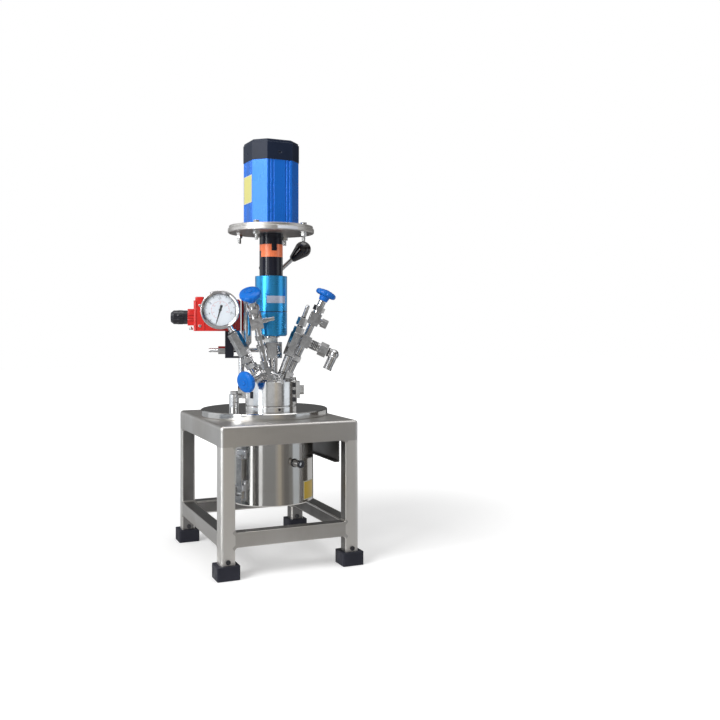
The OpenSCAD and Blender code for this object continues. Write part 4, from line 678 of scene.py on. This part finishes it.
capScrews = {"side": 27.0, "radius": 3.2, "height": 1.6, "sink": 0.9}
bm = bmesh.new()
dark = bmesh.new()
for sx in (-1, 1):
    for sy in (-1, 1):
        seat = onMotor @ shift(sx * capScrews["side"], sy * capScrews["side"], capHigh - capScrews["sink"] - 1.0)
        addBar(bm, capScrews["radius"], capScrews["height"], seat, 24, 0.4)
        # dark crossed bars on each head stand for the shade in its slots: painted shade
        for half in (0, 90):
            addBlock(dark, (3.6, 0.7, 0.3), seat @ shift(0, 0, capScrews["height"]) @ turn(half + 20, "Z"))
finishPiece("motorCapScrews", bm, "screwSteel", "motor_unit")
finishPiece("motorCapScrewSlotShade", dark, "hubBlack", "motor_unit")

rimLabel = {"radius": 77.5, "start": -82, "end": -54, "low": 1.9, "high": 7.0, "thick": 0.2}
bm = bmesh.new()
addBand(bm, rimLabel["radius"], rimLabel["thick"], plateLow + rimLabel["low"], plateLow + rimLabel["high"],
        rimLabel["start"], rimLabel["end"], onHead)
finishPiece("plateRimLabel", bm, "labelWhite", "motor_unit")
print("motor dressed")

# magnetic drive: bare band, hub set screws
driveBand = {"radius": 28.8, "low": 459, "high": 472, "start": -106, "end": -31, "thick": 0.2}
bm = bmesh.new()
addBand(bm, driveBand["radius"], driveBand["thick"], driveBand["low"], driveBand["high"],
        driveBand["start"], driveBand["end"], onHead, 24)
finishPiece("driveBand", bm, "labelLilac", "stand")

hubScrew = {"radius": 2.2, "height": 523, "hub": 21, "angles": (-176, 94)}
bm, dark = bmesh.new(), bmesh.new()
for angle in hubScrew["angles"]:
    seat = onHead @ turn(angle, "Z") @ shift(hubScrew["hub"] - 1.2, 0, hubScrew["height"]) @ turn(90, "Y")
    addBar(bm, hubScrew["radius"], 2.0, seat, 20, 0.3)
    # a dark disc on each screw stands for the shade in its socket: painted shade
    addBar(dark, 1.1, 0.2, seat @ shift(0, 0, 2.0), 6)
finishPiece("hubSetScrews", bm, "blackSteel", "drive_shaft")
finishPiece("hubSetScrewSocketShade", dark, "knobBlack", "drive_shaft")
print("drive dressed")

# stand: the welded frame with its ground corners
standEdge = {"tube": 25, "rail": 51, "sheet": 4, "topFrame": 35, "corner": 6.0, "weld": 5.0, "lip": 1.3}
frameLow, frameHigh = (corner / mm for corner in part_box("stand_frame"))
levels = [frameLow.z, standEdge["rail"], standEdge["rail"] + standEdge["tube"], frameHigh.z - standEdge["topFrame"],
          frameHigh.z - standEdge["sheet"], frameHigh.z]
across = [frameLow.x, frameLow.x + standEdge["tube"], frameHigh.x - standEdge["tube"], frameHigh.x]
deep = [frameLow.y, frameLow.y + standEdge["tube"], frameHigh.y - standEdge["tube"], frameHigh.y]


def tubeHere(i, j, k):
    # whether the frame fills this cell of its grid
    if not (0 <= i < 3 and 0 <= j < 3 and 0 <= k < 5):
        return False
    walls = (i == 1) + (j == 1)
    return walls == 0 or k == 4 or (walls == 1 and k in (1, 3))


bm = bmesh.new()
for i in range(3):
    for j in range(3):
        for k in range(5):
            if not tubeHere(i, j, k):
                continue
            for axis in range(3):
                for side in (0, 1):
                    step = [0, 0, 0]
                    step[axis] = 2 * side - 1
                    if tubeHere(i + step[0], j + step[1], k + step[2]):
                        continue
                    cell = [(i, i + 1), (j, j + 1), (k, k + 1)]
                    cell[axis] = (cell[axis][side],) * 2
                    first, second = [a for a in range(3) if a != axis]
                    corners = []
                    for p, q in ((0, 0), (1, 0), (1, 1), (0, 1)):
                        at = [cell[0][0], cell[1][0], cell[2][0]]
                        at[first], at[second] = cell[first][p], cell[second][q]
                        corners.append(bm.verts.new((across[at[0]], deep[at[1]], levels[at[2]])))
                    bm.faces.new(corners)
bmesh.ops.remove_doubles(bm, verts=bm.verts, dist=0.01)
bmesh.ops.recalc_face_normals(bm, faces=bm.faces)
sheetUnder = frameHigh.z - standEdge["sheet"]
flush = [e for e in bm.edges if len(e.link_faces) == 2 and e.calc_face_angle() < radians(1)
         and all(abs(v.co.z - sheetUnder) < 0.01 for v in e.verts)]
bmesh.ops.dissolve_edges(bm, edges=flush, use_verts=True)


def onOutside(face):
    # whether a face lies on one of the frame's outer planes
    for a in range(3):
        plane = (frameHigh if face.normal[a] > 0 else frameLow)[a]
        if abs(face.normal[a]) > 0.99 and all(abs(v.co[a] - plane) < 0.01 for v in face.verts):
            return True
    return False


def frameEdges(outerFaces):
    # edges with this many outer faces beside them, without those under the legs and the sheet
    found = []
    for e in bm.edges:
        if len(e.link_faces) != 2 or e.calc_face_angle() < radians(30):
            continue
        if any(all(abs(v.co.z - z) < 0.01 for v in e.verts) for z in (frameLow.z, sheetUnder)):
            continue
        if sum(onOutside(f) for f in e.link_faces) == outerFaces:
            found.append(e)
    return found


for outerFaces, offset, segments in ((2, standEdge["corner"], 6), (0, standEdge["weld"], 4), (1, standEdge["lip"], 2)):
    bm.normal_update()
    bmesh.ops.bevel(bm, geom=frameEdges(outerFaces), offset=offset, segments=segments, profile=0.5, affect="EDGES",
                    material=-1, clamp_overlap=True)
bm.normal_update()
inner = Vector((standEdge["tube"], standEdge["tube"], 0))
for face in bm.faces:
    middle = face.calc_center_median()
    # faces turned inwards, the tops of the lower rails and the undersides of the top frame take the darker steel:
    # painted shade
    inward = any(abs(face.normal[a]) > 0.95 and middle[a] * face.normal[a] < 0
                 and abs(abs(middle[a]) - (frameHigh[a] - inner[a])) < 1 for a in (0, 1))
    onRail = face.normal.z > 0.95 and abs(middle.z - levels[2]) < 1
    under = face.normal.z < -0.95 and middle.z > levels[3] - 1
    # outer faces of the legs take the lighter steel: painted light
    onLeg = abs(face.normal.z) < 0.3 and all(v.co.z < levels[3] + 0.5 for v in face.verts) and all(
        abs(v.co[a]) > frameHigh[a] - inner[a] - 0.5 for v in face.verts for a in (0, 1))
    face.material_index = 1 if inward or onRail or under else 2 if onLeg else 0
frameSkin = finishPiece("weldedFrame", bm, "satinSteel", "stand", sharp=40)
frameSkin.data.materials.append(finish["paintedShadeSteel"])
frameSkin.data.materials.append(finish["paintedLightLegSteel"])
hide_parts("stand_frame")
flatFaces = frameSkin.modifiers.new("flatFaces", "WEIGHTED_NORMAL")
flatFaces.keep_sharp = True

# folded sheet inside the right top rail, turned in along its foot; its dark steel is painted shade
sideSheet = {"low": 177, "gap": 0.2, "thick": 2.0, "lip": 9.0, "margin": 2.0, "fold": 1.4}
bm = bmesh.new()
outer = frameHigh.x - standEdge["tube"] - sideSheet["gap"]
reachBack = frameHigh.y - standEdge["tube"] - sideSheet["margin"]
profile = [(outer, sheetUnder - 0.2), (outer, sideSheet["low"]), (outer - sideSheet["lip"], sideSheet["low"]),
           (outer - sideSheet["lip"], sideSheet["low"] + sideSheet["thick"]),
           (outer - sideSheet["thick"], sideSheet["low"] + sideSheet["thick"]),
           (outer - sideSheet["thick"], sheetUnder - 0.2)]
section = bm.faces.new([bm.verts.new((x, -reachBack, z)) for x, z in profile])
grown = bmesh.ops.extrude_face_region(bm, geom=[section])
bmesh.ops.translate(bm, vec=(0, 2 * reachBack, 0),
                    verts=[v for v in grown["geom"] if isinstance(v, bmesh.types.BMVert)])
bmesh.ops.recalc_face_normals(bm, faces=bm.faces)
folds = [e for e in bm.edges if abs(e.verts[0].co.y - e.verts[1].co.y) > 1 and abs(e.verts[0].co.z - sideSheet["low"]) < 0.1
         and abs(e.verts[0].co.x - outer) < 0.1]
bmesh.ops.bevel(bm, geom=folds, offset=sideSheet["fold"], segments=4, profile=0.5, affect="EDGES", material=-1,
                clamp_overlap=True)
finishPiece("sideSheet", bm, "paintedShadeSteel", "stand")
print("stand dressed")

# heater: bare amber label, rivets of the latch
amber = {"radius": 76, "low": 112, "high": 145, "start": -42, "end": -15, "border": 1.5}
labelFinish("labelAmber", (0.74, 0.50, 0.05), (0.68, 0.46, 0.06), (0.3, 0.4), coat=0.2)
borderAngle = amber["border"] / amber["radius"] * 180 / pi
bm = bmesh.new()
addBand(bm, amber["radius"], 0.2, amber["low"], amber["high"], amber["start"], amber["end"], onHead, 24)
finishPiece("heaterLabelBorder", bm, "labelPale", "stand")
bm = bmesh.new()
addBand(bm, amber["radius"] + 0.12, 0.2, amber["low"] + amber["border"], amber["high"] - amber["border"],
        amber["start"] + borderAngle, amber["end"] - borderAngle, onHead, 24)
finishPiece("heaterLabelField", bm, "labelAmber", "stand")

rivets = {"angle": headTurn - 132,
          "places": [(7.4, 121), (-7.4, 121), (7.4, 145), (-7.4, 145), (7.6, 191), (-7.6, 191), (7.6, 201), (-7.6, 201)],
          "radius": 1.9, "wall": 78.1}
bm = bmesh.new()
for sideways, height in rivets["places"]:
    seat = stir @ turn(rivets["angle"], "Z") @ shift(rivets["wall"] - 0.4, sideways, height) @ turn(90, "Y")
    addTurned(bm, [(0.01, 0), (rivets["radius"], 0), (rivets["radius"] * 0.9, 0.6), (rivets["radius"] * 0.5, 1.0),
                   (0.01, 1.1)], seat, 20)
finishPiece("latchRivets", bm, "screwSteel", "stand")
print("heater dressed")

# split ring: bare black plate, small screw
ringPlate = {"radius": 46.5, "angle": -138, "width": 7.5, "low": 290, "height": 12, "thick": 1.0}
bm = bmesh.new()
seat = onHead @ turn(ringPlate["angle"], "Z") @ shift(ringPlate["radius"] + 0.2, 0, ringPlate["low"] + ringPlate["height"] / 2)
addBlock(bm, (ringPlate["thick"], ringPlate["width"], ringPlate["height"]), seat, 0.3)
finishPiece("ringPlate", bm, "hubBlack", "stand")
collarScrew = {"angle": -72, "height": 270.5, "radius": 2.4, "wall": 46.0}
bm = bmesh.new()
seat = onHead @ turn(collarScrew["angle"], "Z") @ shift(collarScrew["wall"], 0, collarScrew["height"]) @ turn(90, "Y")
addBar(bm, collarScrew["radius"], 1.4, seat, 20, 0.3)
finishPiece("collarScrew", bm, "blackSteel", "stand")
print("ring dressed")

# pipework: black rings for painted shade in the thread gaps beside the nuts, sealing sleeve under the drive
ventBranch = onHead @ shift(28, 12, headTop) @ turn(25, "Y")
wellBranch = onHead @ shift(15, -20, headTop) @ turn(21, "Y")
reliefBranch = ventBranch @ shift(0, 0, 76) @ turn(90, "Y")
gaps = [
    # branch, places along it, radius of the tube there
    (gaugeFrame, (23.6, 33.4, 35.6, 46.4, 49.6), 7.0), (gaugeFrame, (95.4, 97.0), 8.0),
    (ventBranch, (35.6, 46.4), 6.5), (wellBranch, (12.4, 15.5, 45.6), 7.2), (wellBranch, (100.5, 102.5), 5.0),
    (wellBranch, (118.5, 120.0), 3.6), (reliefBranch, (15.5, 18.5, 21.5, 24.5), 8.2), (reliefBranch, (48.6,), 8.0),
]
# each gap is a black ring standing for the shade in it: painted shade
bm = bmesh.new()
for branch, places, radius in gaps:
    for place in places:
        addTurned(bm, [(radius - 0.3, -0.75), (radius + 0.45, -0.75), (radius + 0.6, 0), (radius + 0.45, 0.75),
                       (radius - 0.3, 0.75)], branch @ shift(0, 0, place), 40)
finishPiece("paintedShadeThreadGaps", bm, "blackSteel", "stand")
sleeve = {"inner": 10.4, "outer": 11.3, "low": 389, "high": 399.6}
bm = bmesh.new()
addTurned(bm, [(sleeve["inner"], sleeve["low"]), (sleeve["outer"] - 0.3, sleeve["low"]), (sleeve["outer"], sleeve["low"] + 0.4),
               (sleeve["outer"], sleeve["high"]), (sleeve["inner"], sleeve["high"])], stir, 64)
finishPiece("neckSleeve", bm, "whiteSeal", "stand")
# thin black ring in the groove at the joint of the drive housing: painted shade
jointLine = {"radius": 28.75, "low": 443.4, "high": 444.6, "proud": 0.12}
bm = bmesh.new()
lineIn, lineOut = jointLine["radius"] - 0.2, jointLine["radius"] + jointLine["proud"]
addTurned(bm, [(lineIn, jointLine["low"]), (lineOut, jointLine["low"]), (lineOut, jointLine["high"]),
               (lineIn, jointLine["high"])], stir, 96)
finishPiece("driveJointShadeLine", bm, "hubBlack", "stand")
print("pipework dressed")

# coil box: cover with a raised lid, rib, terminal step and screws
coil = {"right": -56, "front": 6, "length": 83, "depth": 44, "height": 55, "foot": headTop + 87}
bm = bmesh.new()
left = coil["right"] - coil["length"]
midDepth = coil["front"] + coil["depth"] / 2
lid = coil["foot"] + coil["height"]
addBlock(bm, (15, coil["depth"] - 6, 9), onHead @ shift(left + 10, midDepth, lid + 2.5), 1.6)
addBlock(bm, (coil["length"] - 24, coil["depth"] - 8, 3), onHead @ shift(coil["right"] - 31, midDepth, lid + 0.8), 1.0)
for along in (left + 4, left + 19, coil["right"] - 8):
    addBlock(bm, (2.4, 1.6, coil["height"] - 3),
             onHead @ shift(along, coil["front"] - 0.4, coil["foot"] + coil["height"] / 2), 0.6)
addBlock(bm, (11, 2.0, 9), onHead @ shift(left - 5.2, coil["front"] + 6.4, coil["foot"] + 33), 0.7)
addBlock(bm, (11, 2.0, 3), onHead @ shift(left - 5.2, coil["front"] + 6.0, coil["foot"] + 20), 0.7)
finishPiece("coilCover", bm, "coilRed", "stand")
bm = bmesh.new()
for along, height in ((left + 11.5, 46), (left + 11.5, 9), (coil["right"] - 18, 9)):
    addTurned(bm, [(0.01, -0.3), (2.6, -0.3), (2.6, 0.9), (2.0, 1.4), (0.01, 1.4)],
              onHead @ shift(along, coil["front"], coil["foot"] + height) @ turn(90, "X"), 24)
addTurned(bm, [(0.01, -6), (3.2, -6), (3.4, -5.6), (3.4, -2.6), (2.0, -2.4), (2.0, 0), (0.01, 0)],
          onHead @ shift(left - 5, coil["front"] + 8, coil["foot"] + 8), 24)
finishPiece("coilScrews", bm, "screwSteel", "stand")
glandRibs = {"count": 10, "radius": 12.5, "from": 10, "length": 9}
bm = bmesh.new()
glandFrame = onHead @ shift(left - 11, midDepth, coil["foot"] + 25) @ turn(-90, "Y")
for i in range(glandRibs["count"]):
    addBlock(bm, (0.9, 3.2, glandRibs["length"]), glandFrame @ turn(36 * i, "Z")
             @ shift(glandRibs["radius"] - 0.1, 0, glandRibs["from"] + glandRibs["length"] / 2), 0.4)
finishPiece("glandRibs", bm, "glandBlack", "stand")
print("coil dressed")

# sensor socket: dark collar at the wall and a dark bush in its mouth
socketFrame = onHead @ turn(-58, "Z") @ shift(76, 0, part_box("heater_pan")[0].z / mm + 74) @ turn(90, "Y")
bm = bmesh.new()
addTurned(bm, [(6.4, 0.1), (7.6, 0.1), (7.6, 1.4), (7.0, 2.2), (6.4, 2.2)], socketFrame, 40)
addTurned(bm, [(3.6, 17), (6.75, 17), (6.9, 17.4), (6.9, 20.3), (6.4, 21.0), (3.6, 21.0)], socketFrame, 40)
finishPiece("socketBush", bm, "glandBlack", "stand")

# clamp ring: hinge knuckles and pins on its split side
knuckle = {"angle": -30, "reach": 47.6, "radius": 2.8, "levels": (283, 296, 309), "height": 8}
bm, dark = bmesh.new(), bmesh.new()
post = onHead @ turn(knuckle["angle"], "Z") @ shift(knuckle["reach"], 0, 0)
for level in knuckle["levels"]:
    addTurned(dark, [(0.01, level), (knuckle["radius"] - 0.4, level), (knuckle["radius"], level + 0.5),
                     (knuckle["radius"], level + knuckle["height"] - 0.5), (knuckle["radius"] - 0.4, level + knuckle["height"]),
                     (0.01, level + knuckle["height"])], post, 28)
addTurned(bm, [(0.01, 281), (1.7, 281), (1.7, 319.5), (2.6, 319.6), (2.6, 321.2), (1.9, 322), (0.01, 322)], post, 24)
finishPiece("ringKnuckles", dark, "blackSteel", "stand")
finishPiece("ringHingePin", bm, "screwSteel", "stand")

# valves: a moulded boss and ring on top of each handwheel
wheel = {"ring": 8.6, "boss": 4.2, "rise": 1.3}
for name in ("gas", "sample", "vent"):
    axisFrame = alongJoint(name + "_turn")
    unturned = axisFrame.inverted()
    top = axisFrame @ shift(0, 0, max((unturned @ (v.co / mm)).z for v in nodes[name + "_valve_wheel"].data.vertices))
    bm = bmesh.new()
    addTurned(bm, [(0.01, -0.5), (wheel["boss"], -0.5), (wheel["boss"], wheel["rise"] - 0.5),
                   (wheel["boss"] - 0.9, wheel["rise"]),
                   (wheel["boss"] - 1.6, wheel["rise"] - 0.2), (0.01, wheel["rise"] - 0.5)], top, 36)
    addTurned(bm, [(wheel["ring"], -0.5), (wheel["ring"] + 1.4, -0.5), (wheel["ring"] + 1.1, 0.35),
                   (wheel["ring"] + 0.3, 0.35)], top, 48)
    finishPiece(name + "WheelBoss", bm, "wheelBlue", name + "_wheel")
print("valves dressed")

print("pieces ready")
